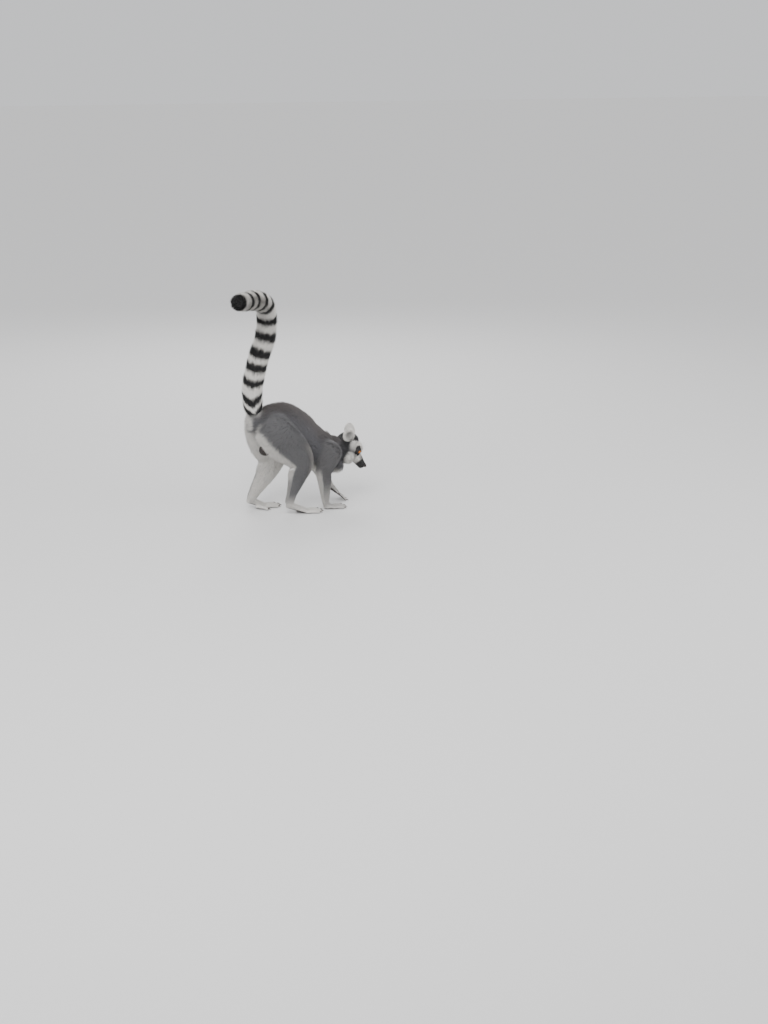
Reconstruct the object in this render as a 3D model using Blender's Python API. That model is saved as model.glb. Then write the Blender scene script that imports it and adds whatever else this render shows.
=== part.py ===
"""A life-size ring-tailed lemur, walking with its head low and its tail up, as a still museum model.

The animal faces +X, its left is +Y and the floor is Z = 0.  Sizes are in centimetres at the top and become
metres in metres().  Every part is a smooth tube or egg drawn out to the tips of the coat.  They are fused
into one body, and the body is then parted into the pieces that a person names.
"""

import math

import bmesh
import bpy
import numpy as np
from mathutils import Matrix, Vector

CM = 0.01                     # metres in a centimetre
WELD = 2e-5                   # metres
FLAT_ANGLE = math.radians(2.5)

# The animal's own frame, moved so that the origin is under the middle of its box.
FRAME_SHIFT = (2.082, 5.801, 0.0)

# Fusing and parting
VOXEL = 0.17                  # grain of the fused body
SMOOTH_PASSES = 4
SMOOTH_STRENGTH = 0.5
BODY_TRIANGLES = 3600
GAP = 0.034                   # air between neighbouring pieces
FLOOR_BLOCK = 90.0
RING_SIDES = 24
DOME_REACH = 0.85             # height of a tube's rounded end, in its smaller radius
DOME_RINGS = 4
DOME_LAST = 0.35              # how far short of the pole the last ring stays, in rings

# Trunk: (x, z) of the middle line with half width and half depth, rump to throat
TRUNK = {
    "rump": ((-12.2, 26.0), 3.9, 3.6),
    "pelvis": ((-9.6, 25.7), 4.7, 4.7),
    "loin": ((-5.2, 25.4), 5.0, 5.6),
    "waist": ((-1.6, 22.7), 5.2, 6.0),
    "ribs": ((1.6, 19.3), 5.4, 6.0),
    "chest": ((4.9, 16.7), 5.4, 5.9),
    "shoulders": ((8.3, 15.5), 5.0, 5.5),
    "neck": ((11.2, 15.7), 4.2, 4.7),
    "nape": ((13.6, 16.0), 3.4, 3.9),
}
BREAST = ((10.6, 13.6), (3.4, 4.0, 3.9))     # the white fur below the throat: (x, z), half sizes

# Head: its own frame has X to the nose, Y to the left and Z to the crown
HEAD_PLACE = (14.6, 0.0, 16.3)
HEAD_PITCH = 50.0             # degrees nose-down
HEAD_YAW = -22.0              # degrees, to its right
CRANIUM = ((-0.7, 0.0, 0.4), (3.6, 3.3, 3.35))
FOREHEAD = ((1.3, 0.0, 1.0), (2.2, 2.5, 2.35))
CHEEK = ((0.9, 2.0, -1.5), (2.8, 1.8, 2.3))
BROW = ((1.4, 1.4, 2.3), (1.2, 0.95, 0.72))
MUZZLE = {                    # (x, z) with half width and half depth, cheeks to lips
    "root": ((1.2, -0.4), 2.3, 2.3),
    "bridge": ((3.45, -0.35), 1.62, 1.80),
    "middle": ((5.0, -0.5), 1.16, 1.38),
    "lips": ((6.25, -0.6), 0.98, 1.16),
}
NOSE = ((6.85, 0.0, -0.02), (0.62, 0.64, 0.54))
EYE_PLACE = (2.3, 1.64, 1.7)
EYE_RADIUS = 0.62
SOCKET_PLACE = (2.63, 1.94, 1.76)
SOCKET_RADIUS = 0.82

# Ear: a cupped leaf standing on the side of the crown
EAR_ROOT = (-2.0, 2.35, 2.1)
EAR_HEIGHT = 4.3
EAR_HALF_WIDTH = 1.75
EAR_HALF_DEPTH = 0.95
EAR_MIDDLE = 0.36             # height of the leaf's middle over its root, in the ear's height
EAR_CUP_RISE = 0.06
EAR_CUP_SHIFT = 0.85          # how far the hollow stands in front of the leaf
EAR_CUP_SCALE = 0.80
EAR_LEAN_OUT = 42.0           # degrees
EAR_LEAN_BACK = 52.0
EAR_TURN = 28.0               # degrees that the hollow faces outwards

# Tail: (x, y, z) with the radius of its fur, root to tip
TAIL = {
    "root": ((-11.9, 0.0, 26.2), 2.85),
    "rise": ((-13.1, 0.0, 30.2), 3.0),
    "first": ((-13.4, 0.0, 34.6), 3.15),
    "second": ((-12.7, 0.0, 39.0), 3.1),
    "third": ((-11.5, 0.0, 43.6), 3.1),
    "fourth": ((-9.8, 0.1, 48.2), 3.1),
    "crest": ((-9.0, 0.0, 53.0), 3.0),
    "turn": ((-9.6, -1.7, 57.3), 2.95),
    "over": ((-11.9, -5.2, 59.9), 2.95),
    "back": ((-15.0, -9.4, 61.2), 2.9),
    "sweep": ((-18.3, -13.6, 61.9), 2.75),
    "tip": ((-21.2, -16.6, 62.2), 2.3),
}
TAIL_LENGTHS = 6
TAIL_ROOT_CUT = 0.085         # share of the tail's line that stays with the trunk

# Limbs: (x, y, z) with half width (left-right) and half depth, top to end
HIND_RIGHT = {
    "hip": ((-8.6, -3.3, 25.0), 3.3, 5.4),
    "thigh": ((-5.2, -4.3, 20.6), 3.1, 5.6),
    "knee": ((-1.6, -4.9, 15.4), 2.5, 3.9),
    "calf": ((-2.6, -4.9, 10.6), 2.0, 2.7),
    "shin": ((-4.1, -4.8, 6.2), 1.35, 1.6),
    "heel": ((-4.9, -4.7, 3.5), 1.15, 1.35),
}
HIND_LEFT = {
    "hip": ((-9.2, 3.3, 24.6), 3.3, 5.3),
    "thigh": ((-8.9, 4.2, 19.9), 2.9, 5.0),
    "knee": ((-7.1, 4.7, 14.6), 2.4, 4.3),
    "calf": ((-8.7, 4.7, 10.0), 2.0, 3.1),
    "shin": ((-11.5, 4.5, 5.9), 1.4, 2.0),
    "heel": ((-13.3, 4.3, 3.2), 1.15, 1.4),
}
FORE_RIGHT = {
    "shoulder": ((8.6, -3.2, 17.3), 2.4, 3.9),
    "upper": ((7.0, -4.0, 14.6), 2.2, 3.3),
    "elbow": ((5.7, -4.2, 11.6), 1.85, 2.5),
    "forearm": ((5.8, -4.0, 7.2), 1.6, 1.85),
    "wrist": ((6.1, -3.7, 1.9), 0.95, 1.0),
}
FORE_LEFT = {
    "shoulder": ((8.9, 3.2, 17.0), 2.4, 3.7),
    "upper": ((7.6, 3.9, 14.4), 2.2, 3.1),
    "elbow": ((6.4, 4.2, 11.4), 1.8, 2.3),
    "forearm": ((8.1, 4.1, 7.8), 1.5, 1.7),
    "wrist": ((10.3, 3.9, 4.2), 0.95, 0.95),
}

# Feet: the sole's line, then the toes as (root, tip, root radius), great toe last
SOLE_RIGHT = {
    "heel": ((-5.1, -4.8, 2.7), 1.05, 1.15),
    "instep": ((-2.8, -4.9, 1.7), 1.2, 0.95),
    "ball": ((-0.5, -4.9, 0.68), 1.5, 0.85),
}
SOLE_LEFT = {
    "heel": ((-13.9, 4.2, 2.5), 1.05, 1.1),
    "instep": ((-12.0, 4.2, 1.7), 1.2, 0.95),
    "ball": ((-10.0, 4.2, 0.68), 1.5, 0.85),
}
TOE_LENGTHS = (3.5, 4.1, 4.0, 3.3)           # inner to outer
TOE_FAN = (8.0, 1.0, -7.0, -16.0)            # degrees towards the midline
TOE_RADIUS = 0.50
GREAT_TOE_LENGTH = 3.3
GREAT_TOE_FAN = 44.0
GREAT_TOE_RADIUS = 0.58
GREAT_TOE_BACK = 2.0          # how far behind the ball it leaves the sole
TOE_ROOT = (0.4, -0.25)       # ahead of the ball and above it
GREAT_TOE_INWARD = 0.9

# Hands: palm half sizes and the fingers
PALM_HALF = (1.75, 1.35, 0.72)
PALM_ROOT_HALF = (1.25, 0.7)                 # the tube from the wrist ends this thick in the palm
HAND_MIDDLE_HALF = (1.1, 0.9)
FINGER_ROOT = (0.9, -0.1)
FINGER_CLOSER = 0.9                          # fingers stand this much closer than toes
THUMB_ROOT = (-0.5, 0.8, -0.1)
FINGER_LENGTHS = (3.2, 3.6, 3.5, 2.9)
FINGER_FAN = (14.0, 4.0, -7.0, -19.0)
FINGER_RADIUS = 0.43
THUMB_LENGTH = 2.3
THUMB_FAN = 62.0
THUMB_RADIUS = 0.46
HAND_RIGHT = {"place": (7.2, -3.6, 0.55), "pitch": 3.0, "yaw": 2.0}
HAND_LEFT = {"place": (11.4, 3.8, 3.05), "pitch": 43.0, "yaw": -4.0}
DIGIT_SINK = 0.6              # height of a toe tip's middle, in its own radius
DIGIT_SPREAD = 0.78           # space between neighbouring digits at their roots
DIGIT_ARCH = 0.14
DIGIT_HALF = ((1.05, 1.0), (0.92, 0.95), (0.86, 0.82))   # root, knuckle and tip, in the radius

SCROTUM = ((-10.2, 0.0, 17.9), (1.9, 1.5, 1.8))

# Where the pieces part
SIDES = {"left": 1, "right": -1}
TAIL_REACH = 16.0             # ahead of each cut
TAIL_WIDTH = (16.0, 16.0)
FOOT_REACH = 9.9              # ahead of the heel
FOOT_BACK = 4.0
FOOT_INNER = 0.1
FOOT_OUTER = 9.0
FOOT_TOP = 0.35               # above the heel's middle
FOOT_BOTTOM = -1.0
SHANK_CUT = 0.12              # share of the way from knee to heel
SHANK_REACH = (3.5, 4.3)
THIGH_REACH = (4.1, 8.4, 10.2)
SHANK_PAST = 2.0
THIGH_MIDDLE = 0.52           # share of the way from hip to knee
THIGH_OUT = 1.6
HAND_REACH = (3.6, 3.6)
HAND_CUT = 0.2                # above the wrist
HAND_PAST = 9.0
FOREARM_DROP = 0.6            # below the elbow
FOREARM_REACH = (2.8, 2.8)
FOREARM_PAST = 2.0
UPPER_ARM_REACH = (2.5, 4.2, 5.8)
UPPER_ARM_MIDDLE = 0.55       # share of the way from shoulder to elbow
UPPER_ARM_OUT = 1.3
HEAD_CUT = (-1.9, 0.0, -0.2)
HEAD_REACH = (6.0, 4.0)       # sideways and up-down
NECK_CUT = ((10.3, 0.0, 15.6), (22.0, 0.0, 17.0))
HEAD_PAST = 9.0               # ahead of the head's middle
NECK_REACH = (12.0, 12.0)
NOSE_REGION = ((7.2, 0.0, 0.03), (0.75, 0.85, 0.62))
EAR_REGION = (2.3, 2.4, 2.05)
EAR_REGION_RISE = 0.52
SCROTUM_REGION = ((-10.8, 0.0, 17.2), (1.9, 1.9, 1.6))

GREY_COAT = (0.155, 0.152, 0.150)
WHITE_COAT = (0.62, 0.60, 0.57)
PALE_COAT = (0.36, 0.34, 0.32)
DARK_COAT = (0.030, 0.028, 0.027)
BARE_SKIN = (0.018, 0.016, 0.015)
AMBER = (0.55, 0.20, 0.03)


def start_clean():
    """Empty the scene."""
    for item in list(bpy.data.objects):
        bpy.data.objects.remove(item, do_unlink=True)


def metres(point):
    """A place in the animal's frame, in centimetres, as metres in the part's frame."""
    return Vector([(value + shift) * CM for value, shift in zip(point, FRAME_SHIFT)])


def material(name, colour, roughness=0.85, metallic=0.0):
    """A plain Principled material."""
    made = bpy.data.materials.new(name)
    made.use_nodes = True
    shader = made.node_tree.nodes["Principled BSDF"]
    shader.inputs["Base Color"].default_value = (*colour, 1.0)
    shader.inputs["Roughness"].default_value = roughness
    shader.inputs["Metallic"].default_value = metallic
    made.diffuse_color = (*colour, 1.0)
    return made


def link(name, mesh):
    """Put a mesh into the scene under a name."""
    item = bpy.data.objects.new(name, mesh)
    bpy.context.scene.collection.objects.link(item)
    return item


def mesh_from(name, build):
    """A mesh made by a function that fills a bmesh."""
    work = bmesh.new()
    build(work)
    bmesh.ops.recalc_face_normals(work, faces=work.faces)
    mesh = bpy.data.meshes.new(name)
    work.to_mesh(mesh)
    work.free()
    return mesh


def egg(name, place, half_sizes, turn=None, subdivisions=4):
    """An ellipsoid with its middle at place and its own turn."""
    shape = (turn or Matrix.Identity(3)).to_4x4()
    shape = Matrix.Translation(metres(place)) @ shape @ Matrix.Diagonal((*[h * CM for h in half_sizes], 1.0))

    def build(work):
        bmesh.ops.create_icosphere(work, subdivisions=subdivisions, radius=1.0, matrix=shape)

    return link(name, mesh_from(name, build))


def curve_through(rows, steps):
    """Rows of numbers joined by a Catmull-Rom curve, steps samples to each span."""
    rows = np.array(rows, dtype=float)
    ends = np.vstack([2 * rows[0] - rows[1], rows, 2 * rows[-1] - rows[-2]])
    samples = []
    for span in range(len(rows) - 1):
        before, start, finish, after = ends[span:span + 4]
        for share in np.arange(steps) / steps:
            samples.append(0.5 * (2 * start + (finish - before) * share
                                  + (2 * before - 5 * start + 4 * finish - after) * share ** 2
                                  + (3 * start - before - 3 * finish + after) * share ** 3))
    samples.append(rows[-1])
    return np.array(samples)


def rounded_ends(rows):
    """Rows (x, y, z, half width, half depth) with a dome of shrinking rings added at each end."""
    domes = []
    for end, neighbour in ((rows[0], rows[1]), (rows[-1], rows[-2])):
        outward = end[:3] - neighbour[:3]
        outward /= np.linalg.norm(outward)
        reach = DOME_REACH * min(end[3], end[4])
        dome = []
        for ring in range(1, DOME_RINGS + 1):
            angle = 0.5 * math.pi * ring / (DOME_RINGS + DOME_LAST)
            width = math.cos(angle)
            dome.append(np.concatenate([end[:3] + outward * reach * math.sin(angle), end[3:] * width]))
        domes.append(dome)
    return np.array(domes[0][::-1] + list(rows) + domes[1])


def tube(name, rows, side=(0.0, 1.0, 0.0), domed=True):
    """A closed tube of elliptical rings; side is the direction that half widths are measured along."""
    if domed:
        rows = rounded_ends(rows)
    centres = rows[:, :3]
    tangents = np.gradient(centres, axis=0)
    side = Vector(side)

    def build(work):
        rings = []
        for centre, tangent, half in zip(centres, tangents, rows[:, 3:]):
            along = Vector(tangent).normalized()
            across = (side - along * side.dot(along)).normalized()
            deep = along.cross(across)
            ring = []
            for turn in np.arange(RING_SIDES) * 2 * math.pi / RING_SIDES:
                offset = across * half[0] * math.cos(turn) + deep * half[1] * math.sin(turn)
                ring.append(work.verts.new(metres(Vector(centre) + offset)))
            rings.append(ring)
        for lower, upper in zip(rings, rings[1:]):
            for here in range(RING_SIDES):
                there = (here + 1) % RING_SIDES
                work.faces.new((lower[here], lower[there], upper[there], upper[here]))
        work.faces.new(rings[0])
        work.faces.new(rings[-1])

    return link(name, mesh_from(name, build))


def limb_rows(stations, steps=6):
    """Rows for tube() from named stations ((x, y, z), half width, half depth)."""
    return curve_through([[*place, wide, deep] for place, wide, deep in stations.values()], steps)


def flat_rows(stations, steps=6):
    """Rows for tube() from stations on the midline ((x, z), half width, half depth)."""
    return curve_through([[x, 0.0, z, wide, deep] for (x, z), wide, deep in stations.values()], steps)


def tail_rows(steps=6):
    """Rows for tube() from the tail's stations, which are round."""
    return curve_through([[*place, radius, radius] for place, radius in TAIL.values()], steps)


def head_frame():
    """The head's turn in the animal's frame."""
    yaw = Matrix.Rotation(math.radians(HEAD_YAW), 3, "Z")
    return yaw @ Matrix.Rotation(math.radians(HEAD_PITCH), 3, "Y")


def on_head(place):
    """A place on the head, in centimetres of the animal's frame."""
    return Vector(HEAD_PLACE) + head_frame() @ Vector(place)


def mirrored(place, side):
    """The same place on the left (1) or the right (-1)."""
    return (place[0], place[1] * side, place[2])


def head_forms():
    """The skull, brows, cheeks and muzzle, still apart."""
    turn = head_frame()
    forms = [egg("cranium", on_head(CRANIUM[0]), CRANIUM[1], turn),
             egg("forehead", on_head(FOREHEAD[0]), FOREHEAD[1], turn)]
    for side in (1, -1):
        forms.append(egg("cheek", on_head(mirrored(CHEEK[0], side)), CHEEK[1], turn))
        forms.append(egg("brow", on_head(mirrored(BROW[0], side)), BROW[1], turn))
    rows = flat_rows(MUZZLE)
    for row in rows:
        row[:3] = on_head(row[:3])
    forms.append(tube("muzzle", rows, side=turn @ Vector((0.0, 1.0, 0.0))))
    forms.append(egg("nose_pad", on_head(NOSE[0]), NOSE[1], turn))
    return forms


def ear_out(side):
    """The turn that leans an ear outwards, in the head's frame."""
    return Matrix.Rotation(math.radians(-EAR_LEAN_OUT * side), 3, "X")


def ear_back():
    """The turn that leans an ear back."""
    return Matrix.Rotation(math.radians(-EAR_LEAN_BACK), 3, "Y")


def ear_form(side):
    """One ear: an egg-shaped leaf with a hollow taken from its front."""
    facing = Matrix.Rotation(math.radians(EAR_TURN * side), 3, "Z")
    turn = head_frame() @ ear_out(side) @ ear_back() @ facing
    half = (EAR_HALF_DEPTH, EAR_HALF_WIDTH, EAR_HEIGHT / 2)
    middle = on_head(mirrored(EAR_ROOT, side)) + turn @ Vector((0.0, 0.0, EAR_HEIGHT * EAR_MIDDLE))
    leaf = egg("ear_leaf", middle, half, turn)
    hollow_middle = middle + turn @ Vector((EAR_CUP_SHIFT, 0.0, EAR_HEIGHT * EAR_CUP_RISE))
    hollow = egg("ear_hollow", hollow_middle, [h * EAR_CUP_SCALE for h in half], turn)
    boolean(leaf, hollow, "DIFFERENCE")
    return leaf


def digit(name, root, tip, radius):
    """A toe or finger: a tapering tube that arches a little."""
    root = Vector(root)
    tip = Vector(tip)
    knuckle = (root + tip) / 2 + Vector((0.0, 0.0, DIGIT_ARCH))
    rows = [[*place, radius * wide, radius * deep]
            for place, (wide, deep) in zip((root, knuckle, tip), DIGIT_HALF)]
    return tube(name, curve_through(rows, 4))


def foot_forms(sole, side):
    """Heel, sole and five toes of a hind foot; side is 1 on the left."""
    forms = [tube("sole", limb_rows(sole))]
    ball = Vector(sole["ball"][0])
    for order, (length, fan) in enumerate(zip(TOE_LENGTHS, TOE_FAN)):
        across = (1.5 - order) * DIGIT_SPREAD
        heading = math.radians(fan) * -side
        root = ball + Vector((TOE_ROOT[0], -side * across, TOE_ROOT[1]))
        tip = root + length * Vector((math.cos(heading), math.sin(heading), 0.0))
        tip.z = TOE_RADIUS * DIGIT_SINK
        forms.append(digit("toe", root, tip, TOE_RADIUS))
    heading = math.radians(GREAT_TOE_FAN) * -side
    root = ball + Vector((-GREAT_TOE_BACK, -side * GREAT_TOE_INWARD, 0.0))
    tip = root + GREAT_TOE_LENGTH * Vector((math.cos(heading), math.sin(heading), 0.0))
    tip.z = GREAT_TOE_RADIUS * DIGIT_SINK
    forms.append(digit("great_toe", root, tip, GREAT_TOE_RADIUS))
    return forms


def hand_forms(hand, limb, side):
    """Palm, four fingers and a thumb; side is 1 on the left."""
    turn = (Matrix.Rotation(math.radians(hand["yaw"]), 3, "Z")
            @ Matrix.Rotation(math.radians(hand["pitch"]), 3, "Y"))
    place = Vector(hand["place"])
    wrist = Vector(limb["wrist"][0])
    forms = [egg("palm", place, PALM_HALF, turn)]
    bridge = [[*wrist, *limb["wrist"][1:]], [*(wrist + place) / 2, *HAND_MIDDLE_HALF],
              [*place, *PALM_ROOT_HALF]]
    forms.append(tube("hand_root", curve_through(bridge, 4)))
    for order, (length, fan) in enumerate(zip(FINGER_LENGTHS, FINGER_FAN)):
        across = (1.5 - order) * DIGIT_SPREAD * FINGER_CLOSER
        heading = math.radians(fan) * -side
        root = Vector((FINGER_ROOT[0], -side * across, FINGER_ROOT[1]))
        tip = root + length * Vector((math.cos(heading), math.sin(heading), 0.0))
        forms.append(digit("finger", place + turn @ root, place + turn @ tip, FINGER_RADIUS))
    heading = math.radians(THUMB_FAN) * -side
    root = Vector(mirrored(THUMB_ROOT, -side))
    tip = root + THUMB_LENGTH * Vector((math.cos(heading), math.sin(heading), 0.0))
    forms.append(digit("thumb", place + turn @ root, place + turn @ tip, THUMB_RADIUS))
    return forms


def boolean(item, tool, operation):
    """Apply one exact Boolean to item, and take the tool away."""
    step = item.modifiers.new("cut", "BOOLEAN")
    step.operation = operation
    step.solver = "EXACT"
    step.object = tool
    bake(item)
    bpy.data.objects.remove(tool, do_unlink=True)


def bake(item):
    """Replace an object's mesh by what its modifiers make of it."""
    bpy.context.view_layer.update()
    seen = item.evaluated_get(bpy.context.evaluated_depsgraph_get())
    mesh = bpy.data.meshes.new_from_object(seen)
    item.modifiers.clear()
    item.data = mesh


def fused(forms):
    """One smooth skin of few triangles around all the forms."""
    work = bmesh.new()
    for form in forms:
        work.from_mesh(form.data)
        bpy.data.objects.remove(form, do_unlink=True)
    mesh = bpy.data.meshes.new("body")
    work.to_mesh(mesh)
    work.free()
    body = link("body", mesh)
    remesh = body.modifiers.new("fuse", "REMESH")
    remesh.mode = "VOXEL"
    remesh.voxel_size = VOXEL * CM
    smooth = body.modifiers.new("smooth", "SMOOTH")
    smooth.factor = SMOOTH_STRENGTH
    smooth.iterations = SMOOTH_PASSES
    bake(body)
    thin = body.modifiers.new("thin", "DECIMATE")
    thin.ratio = BODY_TRIANGLES / (2 * len(body.data.polygons))
    bake(body)
    return body


def floor_block():
    """Everything below the floor."""
    def build(work):
        size = FLOOR_BLOCK * CM
        bmesh.ops.create_cube(work, size=size, matrix=Matrix.Translation((0.0, 0.0, -size / 2)))
    return link("below_floor", mesh_from("below_floor", build))


def box_region(low, high, grow):
    """A box between two corners, grown by some centimetres."""
    low = metres([value - grow for value in low])
    high = metres([value + grow for value in high])

    def build(work):
        middle = Matrix.Translation((low + high) / 2)
        bmesh.ops.create_cube(work, size=1.0, matrix=middle @ Matrix.Diagonal((*(high - low), 1.0)))

    return link("region", mesh_from("region", build))


def egg_region(place, half_sizes, grow, turn=None):
    """An ellipsoid, grown by some centimetres."""
    return egg("region", place, [half + grow for half in half_sizes], turn, subdivisions=2)


def bar_region(start, end, reach, grow, side=(0.0, 1.0, 0.0)):
    """A straight flat-ended bar between two places, reach wide and deep, grown by some centimetres."""
    start = Vector(start)
    end = Vector(end)
    outward = (end - start).normalized() * grow
    wide, deep = (reach[0] + grow, reach[1] + grow)
    rows = np.array([[*(start - outward), wide, deep], [*(end + outward), wide, deep]])
    return tube("region", rows, side=side, domed=False)


def copy_of(item, name):
    """A copy with its own mesh."""
    return link(name, item.data.copy())


def peel(body, name, region, surface):
    """Take the piece inside a region out of the body; region is a function of how far it is grown."""
    piece = copy_of(body, name)
    boolean(piece, region(0.0), "INTERSECT")
    boolean(body, region(GAP), "DIFFERENCE")
    if not piece.data.polygons or not body.data.polygons:
        raise RuntimeError(f"the cut for {name} failed")
    finish(piece, surface)
    return piece


def keep_largest(item):
    """Drop crumbs that a cut leaves, keeping the largest closed shell."""
    work = bmesh.new()
    work.from_mesh(item.data)
    work.verts.ensure_lookup_table()
    left = set(work.verts)
    shells = []
    while left:
        stack = [left.pop()]
        shell = list(stack)
        while stack:
            for edge in stack.pop().link_edges:
                for vert in edge.verts:
                    if vert in left:
                        left.remove(vert)
                        shell.append(vert)
                        stack.append(vert)
        shells.append(shell)
    shells.sort(key=len, reverse=True)
    for shell in shells[1:]:
        bmesh.ops.delete(work, geom=shell, context="VERTS")
    work.to_mesh(item.data)
    work.free()


def finish(item, surface):
    """Give a piece its material and clean triangles."""
    keep_largest(item)
    work = bmesh.new()
    work.from_mesh(item.data)
    bmesh.ops.remove_doubles(work, verts=work.verts, dist=WELD)
    bmesh.ops.dissolve_degenerate(work, edges=work.edges, dist=WELD)
    bmesh.ops.dissolve_limit(work, angle_limit=FLAT_ANGLE, verts=work.verts, edges=work.edges)
    bmesh.ops.triangulate(work, faces=work.faces)
    work.to_mesh(item.data)
    work.free()
    item.data.materials.clear()
    item.data.materials.append(surface)
    item.data.shade_smooth()


def part_tail(body, coats):
    """Part the tail into lengths, tip first."""
    rows = tail_rows(steps=12)
    cuts = np.linspace(TAIL_ROOT_CUT, 1.0, TAIL_LENGTHS + 1) * (len(rows) - 1)
    for number in range(TAIL_LENGTHS, 0, -1):
        here = Vector(rows[round(cuts[number - 1]), :3])
        after = Vector(rows[round(cuts[number - 1]) + 1, :3])
        along = (after - here).normalized()
        peel(body, f"tail_{number}",
             lambda grow, low=here, high=here + along * TAIL_REACH:
             bar_region(low, high, TAIL_WIDTH, grow, side=(1.0, 0.0, 0.0)),
             coats["banded"])


def part_hind_limb(body, coats, side_name, limb):
    """Part a foot, a shank and a thigh."""
    side = SIDES[side_name]
    heel = Vector(limb["heel"][0])
    near, far = sorted((side * FOOT_INNER, side * FOOT_OUTER))
    low = (heel.x - FOOT_BACK, near, FOOT_BOTTOM)
    high = (heel.x + FOOT_REACH, far, heel.z + FOOT_TOP)
    peel(body, f"foot_{side_name}", lambda grow: box_region(low, high, grow), coats["white"])
    knee = Vector(limb["knee"][0])
    shank_top = knee.lerp(heel, SHANK_CUT)
    shank_end = heel + (heel - knee).normalized() * SHANK_PAST
    peel(body, f"shank_{side_name}", lambda grow: bar_region(shank_top, shank_end, SHANK_REACH, grow),
         coats["pale"])
    hip = Vector(limb["hip"][0])
    middle = hip.lerp(knee, THIGH_MIDDLE) + Vector((0.0, side * THIGH_OUT, 0.0))
    turn = (knee - hip).to_track_quat("Z", "Y").to_matrix()
    peel(body, f"thigh_{side_name}", lambda grow: egg_region(middle, THIGH_REACH, grow, turn), coats["grey"])


def part_fore_limb(body, coats, side_name, limb):
    """Part a hand, a forearm and an upper arm."""
    side = SIDES[side_name]
    wrist = Vector(limb["wrist"][0])
    elbow = Vector(limb["elbow"][0])
    along = (wrist - elbow).normalized()
    hand_top = wrist - along * HAND_CUT
    peel(body, f"hand_{side_name}",
         lambda grow: bar_region(hand_top, wrist + along * HAND_PAST, HAND_REACH, grow), coats["pale"])
    forearm_top = elbow + along * FOREARM_DROP
    forearm_end = wrist + along * FOREARM_PAST
    peel(body, f"forearm_{side_name}",
         lambda grow: bar_region(forearm_top, forearm_end, FOREARM_REACH, grow), coats["pale"])
    shoulder = Vector(limb["shoulder"][0])
    middle = shoulder.lerp(elbow, UPPER_ARM_MIDDLE) + Vector((0.0, side * UPPER_ARM_OUT, 0.0))
    turn = (elbow - shoulder).to_track_quat("Z", "Y").to_matrix()
    peel(body, f"upper_arm_{side_name}", lambda grow: egg_region(middle, UPPER_ARM_REACH, grow, turn),
         coats["grey"])


def part_head(body, coats):
    """Part the nose, ears, head and neck, and give the head back."""
    turn = head_frame()
    peel(body, "nose", lambda grow: egg_region(on_head(NOSE_REGION[0]), NOSE_REGION[1], grow, turn),
         coats["skin"])
    for side_name, side in SIDES.items():
        rise = Vector((0.0, 0.0, EAR_HEIGHT * EAR_REGION_RISE))
        middle = on_head(mirrored(EAR_ROOT, side)) + turn @ ear_out(side) @ ear_back() @ rise
        peel(body, f"ear_{side_name}",
             lambda grow, spot=middle, tilt=turn @ ear_out(side): egg_region(spot, EAR_REGION, grow, tilt),
             coats["white"])
    ahead = on_head((HEAD_PAST, 0.0, HEAD_CUT[2]))
    head = peel(body, "head",
                lambda grow: bar_region(on_head(HEAD_CUT), ahead, HEAD_REACH, grow,
                                        side=turn @ Vector((0.0, 1.0, 0.0))), coats["dark"])
    peel(body, "neck", lambda grow: bar_region(NECK_CUT[0], NECK_CUT[1], NECK_REACH, grow), coats["pale"])
    return head


def make_eyes(head, coats):
    """Eyeballs in sockets that are a gap wider."""
    for side_name, side in SIDES.items():
        place = on_head(mirrored(EYE_PLACE, side))
        socket = egg("socket", place, [EYE_RADIUS + GAP] * 3, subdivisions=3)
        boolean(head, socket, "DIFFERENCE")
        mouth = egg("socket", on_head(mirrored(SOCKET_PLACE, side)), [SOCKET_RADIUS] * 3, subdivisions=3)
        boolean(head, mouth, "DIFFERENCE")
        eye = egg(f"eye_{side_name}", place, [EYE_RADIUS] * 3, subdivisions=3)
        finish(eye, coats["amber"])
    finish(head, coats["dark"])


def make_coats():
    """The materials that the pieces share."""
    return {
        "grey": material("grey_coat", GREY_COAT),
        "white": material("white_coat", WHITE_COAT),
        "pale": material("pale_coat", PALE_COAT),
        "banded": material("banded_coat", PALE_COAT),
        "dark": material("dark_coat", DARK_COAT),
        "skin": material("bare_skin", BARE_SKIN, roughness=0.45),
        "amber": material("amber_eye", AMBER, roughness=0.1),
    }


def main():
    """Model the whole animal and part it."""
    start_clean()
    coats = make_coats()
    forms = [tube("trunk", flat_rows(TRUNK)), tube("tail", tail_rows(), side=(1.0, 0.0, 0.0)),
             egg("breast", (BREAST[0][0], 0.0, BREAST[0][1]), BREAST[1])]
    forms += [tube("limb", limb_rows(limb)) for limb in (HIND_RIGHT, HIND_LEFT, FORE_RIGHT, FORE_LEFT)]
    forms += head_forms() + [ear_form(1), ear_form(-1)]
    forms += foot_forms(SOLE_RIGHT, -1) + foot_forms(SOLE_LEFT, 1)
    forms += hand_forms(HAND_RIGHT, FORE_RIGHT, -1) + hand_forms(HAND_LEFT, FORE_LEFT, 1)
    forms.append(egg("scrotum_form", *SCROTUM))
    body = fused(forms)
    boolean(body, floor_block(), "DIFFERENCE")
    part_tail(body, coats)
    for side_name, limb in (("right", HIND_RIGHT), ("left", HIND_LEFT)):
        part_hind_limb(body, coats, side_name, limb)
    for side_name, limb in (("right", FORE_RIGHT), ("left", FORE_LEFT)):
        part_fore_limb(body, coats, side_name, limb)
    head = part_head(body, coats)
    make_eyes(head, coats)
    peel(body, "scrotum", lambda grow: egg_region(*SCROTUM_REGION, grow), coats["skin"])
    body.name = "trunk"
    finish(body, coats["grey"])


main()
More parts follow.
